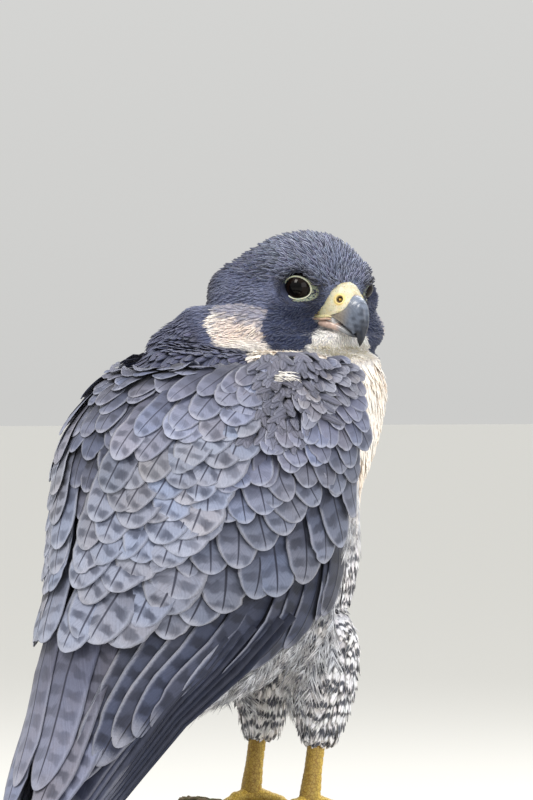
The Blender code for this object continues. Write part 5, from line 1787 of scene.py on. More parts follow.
    def mantle(self) -> bpy.types.Object:
        """Lays the mantle's rows across the back from below up to the nape."""
        coat = Coat("coat_mantle")
        for k, (tip, limit) in enumerate(MANTLE_ROWS):
            low = ramp(300, 330, tip)
            width = 22 - 8 * low
            long = 31 - 14 * low
            count = max(3, int(2 * limit / (11.5 - 3.5 * low)) | 1) + k % 2
            lift = (1.2 + 0.6 * low + 0.12 * k, 1.2 + 0.6 * low + 0.12 * k)
            root = min(tip + long, 331)
            edge = Row("mantle", count, ((0, root, limit * 0.96), (1, root, -limit * 0.96)),
                       ((0, tip + 2, limit), (0.5, tip - 2, 0), (1, tip + 2, -limit)), width, lift,
                       (-4.6, -4.6), -0.06,
                       "#3f4357", "#6a6f85", 0.75 - 0.3 * low, 9.5, 0.7, 0.8, 0.8)
            coat.add(self.row(edge, 1))
        return place_piece(coat.build(self.look), Slot.FLIGHT)

    def ruffle(self, side: int, count: int = 210) -> Feathers:
        """Lays the small ruffled feathers between the shoulder feathers and the small coverts."""
        draw = self.draw
        height, angle = draw.uniform(284, 326, count), draw.uniform(60, 82, count)
        order = np.argsort(height)
        height, angle = height[order], angle[order]
        marks = np.array([0, 0.3, 0.6, 0.82, 0.94, 1.0])
        long = draw.uniform(8, 12, (count, 1))
        heights = height[:, None] + 5 - long * marks
        angles = (angle[:, None] + draw.normal(0, 6, (count, 1)) * marks) * side
        centre, along, out = wing_lines(heights, angles)
        across = np.cross(along, out) * side
        rise = np.interp(height, [284, 326], [2.6, 4.6])[:, None] + draw.uniform(-0.3, 1.2, (count, 1))
        centre = centre + out * (-2.5 + (rise + 2.5) * ramp(0, 0.7, marks))[..., None]
        half = (draw.uniform(3.6, 5.4, (count, 1)) / 2 * np.array([0.5, 0.9, 1, 0.85, 0.5, 0.1])
            * draw.uniform(0.85, 1.15, (count, 6)))
        tone = tint("#666878")[None] * draw.normal(1, 0.13, (count, 1)).clip(0.7, 1.3)
        traits = np.broadcast_to(np.array([0, 0, 0.5, 0.5]), (count, 4))
        detail = np.broadcast_to(np.array([0, 0, 0.9, 0.5]), (count, 4))
        place = wing_place(angle * side, height)
        return Feathers(centre, across, out, half, marks, tone, traits, detail, place, LENS, 0.3, 0.25, 0.08)

    def tuft(self, side: int, count: int = 34) -> Feathers:
        """Lays the tuft of white underfeathers that shows above the ruffled patch."""
        draw = self.draw
        marks = np.array([0, 0.25, 0.5, 0.75, 1.0])
        height, angle = draw.uniform(313, 317, count), draw.uniform(66, 71, count)
        heights = height[:, None] - draw.uniform(0.5, 3.5, (count, 1)) * marks**1.6
        angles = (angle[:, None] + draw.uniform(3, 8, (count, 1)) * marks) * side
        centre, along, out = wing_lines(heights, angles)
        rise = (3.4 + draw.uniform(0, 1.6, (count, 1))
            + draw.uniform(0.4, 1.6, (count, 1)) * np.sin(marks * 2.6))
        centre = centre + out * rise[..., None]
        half = draw.uniform(0.3, 0.55, (count, 1)) * np.array([0.7, 1, 0.9, 0.6, 0.1])
        tone = tint("#e2e0dd")[None] * draw.normal(1, 0.07, (count, 1))
        none = np.zeros((count, 4))
        place = wing_place(angle * side, height)
        return Feathers(centre, np.cross(along, out), out, half, marks, tone, none, none, place, SPIKE, 0.3,
            0.15)

    def wing(self, side: int) -> list:
        """Makes one folded wing in two pieces, the flight feathers and the coverts with the scapulars."""
        word = "right" if side > 0 else "left"
        flight, cover = Coat(f"wing_flight_{word}"), Coat(f"wing_coverts_{word}")
        for row in ROWS:
            (flight if row.blade else cover).add(self.row(row, side))
        cover.add(self.ruffle(side))
        cover.add(self.tuft(side))
        return [place_piece(flight.build(self.look), Slot.FLIGHT, f"wing_{word}"),
                place_piece(cover.build(self.look), Slot.FLIGHT)]


@dataclass
class Tail:
    """The closed tail of twelve feathers."""

    vanes: Vanes
    root: tuple = (-92.0, 0.0, 145.0)
    lean: float = 60.0
    length: float = 152.0
    pairs: int = 6
    width: float = 22.0
    fan: float = 1.7
    step: float = 1.8
    drop: float = 1.15
    shorter: float = 1.6

    def build(self) -> bpy.types.Object:
        """Makes the tail."""
        draw = np.random.default_rng(7)
        lean = math.radians(self.lean)
        along = np.array([-math.cos(lean), 0, -math.sin(lean)])
        back = np.array([-math.sin(lean), 0, math.cos(lean)])
        side_way = np.array([0, 1.0, 0])
        marks, outline = self.vanes.stations(self.length, self.width, True)
        coat = Coat("tail_feathers")
        for pair in range(self.pairs):
            for side in (1, -1):
                fan = math.radians((pair + 0.5) * self.fan * side + draw.uniform(-0.3, 0.3) * self.fan)
                ahead = along * math.cos(fan) + side_way * math.sin(fan)
                across = np.cross(ahead, back)
                start = np.array(self.root) + side_way * side * (pair + 0.5) * self.step
                long = self.length - pair * self.shorter - draw.uniform(0, 1) * self.shorter
                lift = 5.5 * 0.45 - (pair + (0.5 if side > 0 else 0)) * self.drop
                centre = start + ahead * (long * marks)[:, None] + back * lift
                half = self.width / 2 * outline
                shape = (1, len(marks), 3)
                base, end = tint("#6c7086"), tint("#585c72")
                tone = (base + (end - base) * marks[:, None])[None] * draw.normal(1, 0.07)
                uneven, wave = self.vanes.edges(1, len(marks))
                coat.add(Feathers(
                    centre[None], np.broadcast_to(across, shape), np.broadcast_to(back, shape), half[None],
                    marks, tone,
                    np.array([[0.85, 15 / 16, 0.85, 0.8]]),
                    np.array([[0.2, 0.3 + 0.05 * draw.random(), 0.5, 0.3]]),
                    np.array([[0.5 + side * (pair + 0.5) / 14, 0.5]]), VANE, 0.05, 0.4, 0.035, wave, uneven))
        return place_piece(coat.build(self.vanes.look), Slot.FLIGHT, "tail")


# Eyes and bill


@dataclass
class Eye:
    """One eye: a dark wet globe in pale lids, side +1 for the left."""

    side: int
    ground: Ground
    white: str = "#d9dfca"
    skin: str = "#8e9884"

    def globe(self, look: bpy.types.Material) -> bpy.types.Object:
        """Makes the globe with its bulging cornea, pupil and dark iris."""
        centre, way, ahead, up = SKULL.eye_frame(self.side)
        polar = np.concatenate([np.linspace(0.03, 1.0, 30), np.linspace(1.06, 3.1, 22)])[:, None]
        turn = np.linspace(0, math.tau, 64, endpoint=False)
        radius = EYE_RADIUS - 0.15 + 0.45 * np.exp(-((polar / 0.52) ** 2))
        reach = radius * np.sin(polar)
        deep = radius * np.cos(polar)
        points = (centre + (reach * np.cos(turn))[..., None] * ahead
            + (reach * np.sin(turn))[..., None] * up + (
            deep + 0 * turn)[..., None] * way)
        tone = tint("#060506") + (tint("#140c08") - tint("#060506")) * (
            ramp(3.3, 3.7, reach + 0 * turn) * ramp(6.6, 5.6, reach + 0 * turn))[..., None]
        word = "left" if self.side > 0 else "right"
        return grid_loft(f"eye_globe_{word}", points, tone, look)

    def lids(self, look: bpy.types.Material) -> bpy.types.Object:
        """Makes the ring of lids, a pale swollen rim with wrinkled bare skin round it, with painted shade in
        its creases and under the brow.
        """
        centre, way, ahead, up = SKULL.eye_frame(self.side)
        turn = np.linspace(0, math.tau, 144, endpoint=False)
        cos, sin = np.cos(turn), np.sin(turn)
        rho, outer = lid_opening(turn), lid_outer(turn)
        swell = 1.0 - 0.45 * sin
        base = EYE_RADIUS - 0.15

        def globe_deep(reach: Array) -> Array:
            """Gives how far out the globe's surface lies at a reach from its axis."""
            return np.sqrt(np.maximum(base**2 - reach**2, 0.0))

        rim_deep = globe_deep(rho)
        skin_deep = np.array([
            12 - self.ground.hit(centre + r * (c * ahead + s * up) + 12 * way, -way) for r, c,
            s in zip(outer, cos, sin)])
        skin_deep = np.clip(skin_deep, -1.0, 5.6)
        for _ in range(6):
            skin_deep = (np.roll(skin_deep, 1) + skin_deep * 2 + np.roll(skin_deep, -1)) / 4
        profile = [
            (rho - 0.55, globe_deep(rho - 0.55) - 0.9, 0.0), (rho - 0.2, globe_deep(rho - 0.2) + 0.02, 0.1),
            (rho - 0.05, rim_deep + 0.2 * swell, 0.75), (rho + 0.12, rim_deep + 0.4 * swell, 1.0),
            (rho + 0.34, rim_deep + 0.42 * swell, 1.0), (rho + 0.55, rim_deep + 0.24 * swell, 0.6),
            (rho + 0.72, rim_deep - 0.02, 0.2),
        ]
        inner, inner_deep = profile[-1][0], profile[-1][1]
        # Painted shade: the dark tone darkens the rim where it tucks in against the globe and in the crease
        # at its outer foot.
        white, skin, dark = (tint(c) for c in (self.white, self.skin, "#3a3d33"))
        rows, tones = [], []
        for reach, deep, bright in profile:
            rows.append((reach, deep))
            # Painted shade: the upper half of the rim is darkened, as under the brow.
            tones.append((dark + (white - dark) * bright) * (1 - 0.5 * np.maximum(0, sin))[:, None])
        steps = np.linspace(0, 1, 10)[1:]
        for t in steps:
            wrinkle = (0.16 * np.sin(t * 19 + 1.2 * np.sin(turn * 3)) * (1 - t)
                + 0.07 * np.sin(turn * 31 + t * 9))
            reach = inner + (outer - inner) * t
            deep = inner_deep + (skin_deep + 0.45 - inner_deep) * t + wrinkle + 0.3 * math.sin(math.pi * t)
            rows.append((reach, deep))
            # Painted shade: darker in the wrinkles' folds and towards the outer edge, where the feathers lie
            # over it.
            shade = (0.82 + 0.18 * np.sin(t * 19 + 1.2 * np.sin(turn * 3) + 1.2)) * (1 - 0.45 * t**3)
            blots = 1 - 0.35 * ramp(0.2, 0.9, np.sin(turn * 23 + t * 14) * np.sin(turn * 9 - t * 21))
            # The blots are the skin's own dark specks; the upper half is darkened as painted shade under the
            # brow.
            tones.append(skin[None] * (shade * blots * (1 - 0.6 * np.maximum(0, sin)))[:, None])
        # Painted shade: the last row, tucked under the face's skin, is darker.
        rows.append((outer + 0.4, skin_deep - 1.6))
        tones.append(tones[-1] * 0.6)
        points = np.array([centre + (reach * cos)[:, None] * ahead + (reach * sin)[:, None] * up
            + deep[:, None] * way
                           for reach, deep in rows])
        back = (centre + (rho[:, None] - 0.2) * (cos[:, None] * ahead + sin[:, None] * up)
            + (globe_deep(rho) - 2.6)[:, None] * way)
        points = np.concatenate([points, back[None], points[:1]])
        tones = tones + [tones[0], tones[0]]
        word = "left" if self.side > 0 else "right"
        return grid_loft(f"eyelids_{word}", points, np.array(tones), look, ends=False)


@dataclass
class Bill:
    """The hooked bill with the bare cere over its root, the lower jaw and the gape."""

    palate: int = 17
    # Ridge forward and up, cutting edge forward and up, half width
    sections: tuple = (
        (20, 9.8, 16.5, -6.4, 12.2), (24, 11.8, 19.5, -6.2, 11.4), (28, 11.4, 23.9, -5.6, 10.1),
        (31, 8.6, 27, -6.3, 9.2),
        (33, 6.2, 29.8, -7.3, 8.4), (36, 5.2, 32.2, -8.8, 7.4), (39, 3.2, 34.6, -10.6, 6.3),
        (41.2, 0.2, 36.6, -12, 5),
        (42.4, -4.4, 37.9, -12.6, 3.9), (42.6, -9, 38.6, -12.9, 3), (42, -13, 38.3, -15, 2.1),
        (40.8, -16.6, 38.4, -17.4, 1.2),
        (38.95, -19.4, 38.85, -19.5, 0.12),
    )
    border: tuple = ((0, 3.9), (0.4, 4.5), (0.6, 4.6), (0.8, 3.9), (1, 2.1))
    jaw: tuple = (
        (17.5, 10.6, -6.9, -12.2), (22, 9.6, -7, -12.6), (26, 8.3, -7.8, -13), (30, 6.8, -9.2, -13.8),
        (33.5, 5.1, -11.2, -14.8), (36, 3.2, -12.8, -15.2), (37, 1.5, -13.4, -14.9),
    )
    nostril: tuple = (29.3, 8.1, 3.7)
    across: int = 120

    def surface(self, at: Array, turn: Array) -> Array:
        """Gives points of the upper bill, by section number and by turn from -1 (right) to 1 (left)."""
        table = Table([(k, *row) for k, row in enumerate(self.sections)])
        ridge_f, ridge_u, edge_f, edge_u, half = np.moveaxis(table(at), -1, 0)
        bow = 1 - np.cos(np.abs(turn) * math.pi / 2)
        f, up = ridge_f + (edge_f - ridge_f) * bow, ridge_u + (edge_u - ridge_u) * bow
        side = (np.sign(turn) * half * np.sin(np.abs(turn) * math.pi / 2) ** 0.92
            * (1 - 0.07 * ramp(0.8, 1, np.abs(turn))))
        return np.stack([f, side, up], -1)

    def closed(self, top: Array) -> Array:
        """Closes rings of the upper bill underneath with a palate a little inside."""
        t = np.linspace(0.94, -0.94, self.palate)
        left, right = top[:, -1], top[:, 0]
        mid = (left + right) / 2
        ridge = top[:, top.shape[1] // 2]
        lift = np.cos(t * math.pi / 2)[None, :, None] * 0.22 + 0.05
        under = mid[:, None] + (left - mid)[:, None] * t[None, :, None] + (ridge - mid)[:, None] * lift
        return np.concatenate([top, under], 1)

    def loft(self, name: str, points: Array, tone: Array, shade: float,
            look: bpy.types.Material) -> bpy.types.Object:
        """Makes a piece of the upper bill, closed underneath by its palate, darkened by the shade factor as
        painted shade under the bill.
        """
        # Painted shade: the palate takes the first row's tone times the shade factor.
        tones = np.concatenate([tone, np.repeat(tone[:, :1] * shade, self.palate, 1)], 1)
        return grid_loft(name, SKULL.out(self.closed(points)), tones, look)

    def crater(self, points: Array, tone: Array) -> tuple[Array, Array]:
        """Sinks the two nostrils, each with a swollen yellow rim and a small knob inside, the pit round the
        knob darkened as painted shade.
        """
        points, tone = points.copy(), tone.copy()
        for side in (1, -1):
            middle = np.array([self.nostril[0], side * self.nostril[1], self.nostril[2]])
            far = np.linalg.norm(points - middle, axis=-1)
            middle = points[np.unravel_index(far.argmin(), far.shape)]
            far = np.linalg.norm(points - middle, axis=-1)
            outward = unit(np.array([0.42, side * 0.86, 0.28]))
            push = (-1.7 * ramp(1.95, 1.35, far) + 0.45 * np.exp(-(((far - 2.35) / 0.5) ** 2))
                + 1.5 * ramp(0.85, 0.4, far))
            points = points + outward * push[..., None]
            deep, ring, knob = ramp(2.0, 1.5, far), np.exp(-(((far - 2.5) / 0.8) ** 2)), ramp(0.85, 0.6, far)
            tone = tone + (tint("#e8cf7c") - tone) * (ring * 0.75)[..., None]
            # Painted shade: the sunken pit round the knob is darkened.
            tone = tone + (tint("#4a3a22") - tone) * (deep * (1 - knob))[..., None]
            tone = tone + (tint("#c9a44c") - tone) * knob[..., None]
        return points, tone

    def cere(self, look: bpy.types.Material) -> bpy.types.Object:
        """Makes the waxy cere, its front rim a little swollen over the bill's root."""
        turn = np.linspace(-1, 1, 2 * self.across + 1)
        border = Table(list(self.border))(np.abs(turn))[:, 0]
        share = np.linspace(0, 1, 84)[:, None]
        at = border * share
        points = self.surface(at, turn + 0 * at)
        rim = 0.32 * ramp(0.75, 0.93, share) * ramp(1.0, 0.97, share) + 0.1 + 0 * turn
        middle = points.mean(axis=1, keepdims=True)
        folds = 0.1 * ripple(points, 3.0, 51) + 0.05 * ripple(points, 1.1, 54)
        points = points + unit(points - middle) * (rim + folds)[..., None]
        lower = ramp(0.55, 0.95, np.abs(turn)) + 0 * share
        tone = np.broadcast_to(tint("#cdc8b2"), points.shape).copy()
        warm = ramp(0.3, 1.0, 0.5 + 0.5 * ripple(points, 6, 52))
        tone = tone + (tint("#cbbc84") - tone) * (warm * 0.3)[..., None]
        tone = (tone + (tint("#a5a37c") - tone)
            * (np.maximum(lower, 0.35) * ramp(0.85, 0.1, share) * 0.8)[..., None])
        specks = ramp(0.75, 1.15, ripple(points, 1.5, 53))
        tone = tone * (1 - 0.35 * specks)[..., None]
        points, tone = self.crater(points, tone)
        return self.loft("cere_skin", points, tone, 0.6, look)

    def horn(self, look: bpy.types.Material) -> bpy.types.Object:
        """Makes the hooked horn with its tooth, pale at the root with a painted highlight along its ridge,
        and near black at the tip.
        """
        turn = np.linspace(-1, 1, 2 * self.across + 1)
        border = Table(list(self.border))(np.abs(turn))[:, 0] - 0.35
        share = np.linspace(0, 1, 120)[:, None]
        at = border + (12 - border) * share
        points = self.surface(at, turn + 0 * at)
        middle = points.mean(axis=1, keepdims=True)
        growth = 0.05 * np.sin(at * 9 + 1.5 * np.cos(turn * 3)) * ramp(11, 8, at)
        points = points + unit(points - middle) * (growth + 0.03 * ripple(points, 1.2, 61))[..., None]
        tooth = np.exp(-(((at - 7.6) / 0.55) ** 2)) * ramp(0.8, 1.0, np.abs(turn))
        points[..., 2] -= 0.9 * tooth
        tone = np.broadcast_to(tint("#626b7b"), points.shape).copy()

        def blend(code: str, amount: Array) -> None:
            """Mixes a colour in by its share."""
            nonlocal tone
            tone = tone + (tint(code) - tone) * np.clip(amount, 0, 1)[..., None]

        # Painted highlight: a paler blue-grey along the top of the ridge towards the root.
        blend("#848ea0", ramp(0.45, 0.15, np.abs(turn)) * ramp(9.5, 5, at) * 0.6)
        blend("#262c38", ramp(5.8, 9.2, at + 0.9 * ripple(points, 4, 62)))
        blend("#8b8172", ramp(0.35, 0.85, np.abs(turn)) * ramp(6.3, 4.0, at) * 0.85)
        blend("#12151c", ramp(10.0, 11.6, at))
        blend("#1d222b", ramp(0.93, 1.0, np.abs(turn)) * ramp(4.6, 6.5, at) * 0.7)
        blend("#7a4d44", np.exp(-(((at - 4.0) / 0.3) ** 2)) * ramp(0.16, 0.04, np.abs(turn)) * 0.7)
        streaks = 0.5 + 0.5 * np.sin(turn * 70 + 2 * ripple(points, 3, 63))
        tone = tone * (0.88 + 0.16 * streaks)[..., None]
        return self.loft("bill_horn_upper", points, tone, 0.5, look)

    def lower(self, look: bpy.types.Material) -> bpy.types.Object:
        """Makes the lower jaw, pinkish at the gape and grey horn at its tip."""
        table = Table(list(self.jaw))
        f = np.linspace(self.jaw[0][0], self.jaw[-1][0], 60)
        half, top, bottom = np.moveaxis(table(f), -1, 0)
        turn = np.linspace(0, math.tau, 72, endpoint=False)
        cos, sin = np.cos(turn), np.sin(turn)
        side = half[:, None] * np.sign(cos) * np.abs(cos) ** 0.7
        middle = (top + bottom)[:, None] / 2
        up = middle + (top - bottom)[:, None] / 2 * np.sign(sin) * np.abs(sin) ** 0.8
        fold = (0.22 * np.sin(f * 2.1)[:, None] * ramp(31, 26, f)[:, None]
            * ramp(0.3, -0.1, np.abs(sin - 0.2)))
        points = np.stack([f[:, None] + 0 * turn, side * (1 + 0 * turn), up + fold], -1)
        pink, grey, dark = (tint(c) for c in ("#cbb0a2", "#8d8f93", "#3a3f49"))
        share = ramp(26.5, 31, f)[:, None, None]
        tone = pink + (grey - pink) * share
        tone = tone + (dark - tone) * ramp(33, 36.5, f)[:, None, None]
        tone = tone * (0.9 + 0.12 * ripple(points, 2.0, 71))[..., None]
        return grid_loft("bill_horn_lower", SKULL.out(points), tone, look)

    def gape(self, look: bpy.types.Material) -> bpy.types.Object:
        """Makes the swollen yellowish lips from the corners of the mouth forward."""
        tubes = []
        for side in (1, -1):
            at = np.linspace(0, 4, 60)
            edge = self.surface(np.clip(at - 0.6, 0, 4) * 0.75, np.full(60, float(side)))
            corner = ramp(0.7, 0.0, at)
            line = edge + corner[:, None] * np.array([-2.4, side * 0.7, -0.5])
            ahead = unit(np.gradient(line, axis=0))
            up = tangent(np.broadcast_to(np.array([0, 0, 1.0]), line.shape), ahead)
            aside = np.cross(ahead, up)
            thick = 0.8 * np.sin(np.clip(at / 4, 0.03, 0.97) * math.pi) ** 0.5
            turn = np.linspace(0, math.tau, 16, endpoint=False)
            for drop, wide in ((-0.1, 1.0), (-1.35, 0.9)):
                ring = line[:, None] + (aside[:, None] * np.cos(turn)[None, :, None]
                    + up[:, None] * np.sin(turn)[None, :, None]) * (
                    thick * wide)[:, None, None] + up[:, None] * drop
                tone = (np.array(linear("#cfc79a" if drop > -1 else "#c2a795"))
                    * (0.92 + 0.12 * ripple(ring, 1.5, 72))[..., None])
                tubes.append(grid_loft("lip", SKULL.out(ring), tone, look))
        made = join("gape_lips", tubes)
        made.data.materials.clear()
        made.data.materials.append(look)
        return made

    def bristles(self, look: bpy.types.Material, count: int = 420) -> bpy.types.Object:
        """Grows the fine bristles that lie back from the cere's rear edge and the lores."""
        draw = np.random.default_rng(81)
        turn = draw.uniform(-1, 1, count)
        at = draw.uniform(0.0, 0.9, count) ** 1.4
        root = self.surface(at, turn)
        middle = np.stack([root[:, 0] - 3, 0 * turn, 0 * turn + 1], -1)
        out = unit(root - middle)
        back = tangent(np.stack([-np.ones(count), draw.normal(0, 0.25, count),
            draw.normal(0.1, 0.35, count)], -1), out)
        marks = np.array([0, 0.35, 0.7, 1.0])
        long = draw.uniform(2.2, 4.6, count)
        line = root[:, None] + (back * 0.8 + out * 0.55)[:, None] * (long[:, None] * marks)[..., None]
        line = line - (out * 0.35)[:, None] * (long[:, None] * marks**2.5)[..., None]
        line = SKULL.out(line)
        along = unit(np.gradient(line, axis=1))
        up = tangent(np.broadcast_to(SKULL.way(out)[:, None], line.shape), along)
        half = draw.uniform(0.11, 0.2, (count, 1)) * np.array([1, 0.9, 0.6, 0.12])
        pick = draw.random(count)[:, None]
        tone = np.where(pick < 0.5, tint("#8f7d55"), np.where(pick < 0.8, tint("#cdbf94"), tint("#2d2d36")))
        none = np.zeros((count, 4))
        coat = Coat("coat_bristles")
        place = skin_place(SKULL.out(root))
        coat.add(Feathers(line, np.cross(along, up), up, half, marks, tone, none, none, place, SPIKE, 0.3,
            0.1))
        return place_piece(coat.build(look), Slot.HOOD)


# Feet, perch and stand

PERCH = (8.0, 0.0, 78.0)
PERCH_RADIUS = 18.5
PERCH_HALF = 84.0


@dataclass
class Foot:
    """One foot round the perch, side +1 for the left: shank, four padded toes and their claws."""

    side: int
    scale: TintedFinish
    horn: TintedFinish
    # Splay in degrees, length and claw length for each toe; the hind toe runs the other way
    toes: dict = field(default_factory=lambda: {
        "inner": (24.0, 33.0, 17.0), "middle": (-2.0, 48.0, 15.0), "outer": (-27.0, 36.0, 13.0),
        "hind": (180.0, 20.0, 18.0)})
    thick: tuple = (1.2, 1.15, 0.95, 1.1, 0.9, 1.05, 0.95, 0.75)

    def toe_point(self, s: Array, splay: float, off: Array) -> tuple[Array, Array]:
        """Gives points along a toe's path round the perch, with the outward way there."""
        turn = math.radians(splay)
        radius = PERCH_RADIUS + off
        a = s * math.cos(turn) / (PERCH_RADIUS + 4.67)
        out = np.stack([np.sin(a), 0 * a, np.cos(a)], -1)
        side = self.side * (26 + s * math.sin(turn)) if abs(splay) < 90 else self.side * 26 + 0 * s
        return np.array(PERCH) + out * radius[..., None] + np.stack([0 * a, side + 0 * a, 0 * a], -1), out

    def tube(self, name: str, line: Array, out: Array, high: Array, wide: Array, tone: Callable,
             look: bpy.types.Material, scutes: float = 0.0, count: int = 40) -> bpy.types.Object:
        """Makes a tube along a line, with raised scutes across its upper side.

        Args:
            name: the object's name.
            line: its middle line.
            out: the way of its upper side.
            high: half heights along it.
            wide: half widths along it.
            tone: a function of the upper share and the points that gives the colours.
            look: the material.
            scutes: the length of a scute, or 0 for a smooth tube.
            count: points round it.

        Returns:
            The object.
        """
        along = unit(np.gradient(line, axis=0))
        up = tangent(out, along)
        aside = np.cross(along, up)
        turn = np.linspace(0, math.tau, count, endpoint=False)
        cos, sin = np.cos(turn), np.sin(turn)
        length = np.concatenate([[0], np.cumsum(np.linalg.norm(np.diff(line, axis=0), axis=1))])
        grow = np.ones((len(line), count))
        if scutes:
            step = (length / scutes) % 1.0
            plate = 0.09 * np.sqrt(np.clip(1 - (step * 2 - 1) ** 4, 0, 1)) + 0.03 * step
            grow = (grow + plate[:, None] * ramp(0.1, 0.6, sin)
                + 0.02 * np.sin(turn * 9 + length[:, None] * 2.2) * ramp(0.3, -0.2, sin))
        points = (line[:, None] + aside[:, None] * (wide[:, None] * cos * grow)[..., None]
            + up[:, None] * (high[:, None] * sin * grow)[..., None])
        return grid_loft(name, points, tone(ramp(-0.3, 0.4, sin) + 0 * grow, points, grow), look)

    def skin_tone(self, upper: Array, points: Array, grow: Array) -> Array:
        """Gives the foot's colours: yellow scales, lighter on the upper side and on the raised scutes,
        darker in the seams between them and, as painted shade, on the underside.
        """
        # Painted shade: the underside takes a darker yellow than the upper side.
        tone = tint("#c7a64a") + (tint("#e4c55c") - tint("#c7a64a")) * upper[..., None]
        # Raised scutes are lighter; the seams and the underside, where there are none, are darker.
        return tone * (0.72 + 2.6 * np.clip(grow - 1, 0, 0.11) + 0.06 * ripple(points, 3, 91))[..., None]

    def horn_tone(self, upper: Array, points: Array, grow: Array) -> Array:
        """Gives the claws' colours, black with a grey root."""
        share = np.linspace(0, 1, points.shape[0])[:, None, None]
        root, tip = tint("#4a4c52"), tint("#15161a")
        return root + (tip - root) * ramp(0, 0.45, share) + 0 * points

    def build(self, scale: bpy.types.Material, horn: bpy.types.Material) -> list:
        """Makes the foot and its four claws."""
        word = "left" if self.side > 0 else "right"
        tubes = []
        bottom = np.array([PERCH[0], self.side * 26.0, PERCH[2] + PERCH_RADIUS + 4.67 + 1.5])
        top = np.array([14.0, self.side * 26.0, 141.0])
        t = np.linspace(0, 1, 70)
        line = top + (bottom - top) * t[:, None]
        radius = 4.6 * np.interp(t, [0, 0.3, 0.6, 0.85, 1], [1.05, 0.95, 0.95, 1.1, 1.15])
        tubes.append(self.tube("shank", line, np.broadcast_to(np.array([1.0, 0, 0]), line.shape), radius,
            radius * 0.95,
                               self.skin_tone, scale, 4.2, 44))
        made = []
        for name, (splay, length, claw) in self.toes.items():
            t = np.linspace(0, 1, 90)
            s = t * length * (1 if name != "hind" else -1)
            flat = splay if name != "hind" else 180.0
            s_path = t * length
            thick = 3.6 * np.interp(t, np.linspace(0, 1, 8), self.thick)
            end = ramp(1.0, 0.97, t) * 0.35 + 0.65
            centre, out = self.toe_point(s_path if name != "hind" else s, splay if name != "hind" else 0.0,
                thick * 0 + 4.67)
            tubes.append(self.tube(f"toe_{name}", centre, out, thick * end * 1.0, thick * end * 1.02,
                self.skin_tone, scale, 3.4, 36))
            t = np.linspace(0, 1, 48)
            s = length - 1.5 + t * (claw + 1.5)
            off = 4.67 + 0.4 - 1.2 * t
            sign = 1 if name != "hind" else -1
            centre, out = self.toe_point(s * sign, flat if name != "hind" else 0.0, off)
            radius = 2.2 * (1 - t) ** 0.8 + 0.25
            node = f"claw_{word}_{name}"
            piece = self.tube(f"claw_horn_{word}_{name}", centre, out, radius * 1.1, radius * 0.85,
                self.horn_tone, horn)
            made.append(place_piece(piece, Slot.CLAW, node))
        foot = join(f"foot_scales_{word}", tubes)
        foot.data.materials.clear()
        foot.data.materials.append(scale)
        turn_outward(foot.data)
        return [place_piece(foot, Slot.FOOT, f"foot_{word}"), *made]


@dataclass
class Perch:
    """A short cut length of branch across the stand, in bark, with sawn ends."""

    bark: float = 1.3

    def build(self, look: bpy.types.Material) -> bpy.types.Object:
        """Makes the branch."""
        y = np.concatenate([np.linspace(-PERCH_HALF, PERCH_HALF, 320)])
        turn = np.linspace(0, math.tau, 220, endpoint=False)
        yy, tt = np.meshgrid(y, turn, indexing="ij")
        on = np.stack([np.cos(tt) * PERCH_RADIUS, yy * 0.3, np.sin(tt) * PERCH_RADIUS], -1)
        rough = np.abs(ripple(on, 5, 101)) * 0.9 + ripple(on, 2.2, 102) * 0.35 + ripple(on, 14, 103) * 0.6
        calm = np.exp(-(((np.abs(yy) - 26) / 15) ** 4)) * ramp(-0.6, 0.2, np.sin(tt))
        relief = np.clip(rough, -0.8, 1.3) * self.bark * (1 - calm * 0.92) - 0.5 * (1 - calm)
        end = ramp(PERCH_HALF, PERCH_HALF - 1.6, np.abs(yy))
        radius = PERCH_RADIUS + relief * end - 0.6 * (1 - end)
        points = np.stack([PERCH[0] + radius * np.cos(tt), yy, PERCH[2] + radius * np.sin(tt)], -1)
        # Painted shade and light: the bark darkens in its low cracks and lightens on its ridges.
        shade = (0.55 + 0.5 * ramp(-1.0, 1.0, relief))[..., None]
        tone = tint("#7a6d59") * shade
        caps, cap_tones = [], []
        for r in np.linspace(0.97, 0.02, 34):
            ring = points[0].copy()
            ring[:, 0] = PERCH[0] + (ring[:, 0] - PERCH[0]) * r
            ring[:, 2] = PERCH[2] + (ring[:, 2] - PERCH[2]) * r
            caps.append(ring)
            rings = 0.82 + 0.18 * math.sin(r * 58 + math.sin(r * 9) * 2)
            cap_tones.append(np.broadcast_to(np.array(linear("#c7a77a" if r < 0.9 else "#5b4936")) * rings,
                ring.shape))
        low, low_tone = np.array(caps), np.array(cap_tones)
        high = low.copy()
        high[..., 1] = PERCH_HALF
        grid = np.concatenate([low[::-1], points, high])
        tones = np.concatenate([low_tone[::-1], tone, low_tone])
        made = grid_loft("perch_branch", grid, tones, look)
        alpha = np.ones(len(made.data.vertices))
        place = positions(made.data)
        cut = np.abs(np.abs(place[:, 1]) - PERCH_HALF) < 0.05
        values = np.empty(len(alpha) * 4, np.float32)
        made.data.color_attributes["Tone"].data.foreach_get("color", values)
        values = values.reshape(-1, 4)
        values[:, 3] = np.where(cut, 1.0, 0.0)
        made.data.color_attributes["Tone"].data.foreach_set("color", values.ravel())
        return place_piece(made, Slot.BARK, "perch")


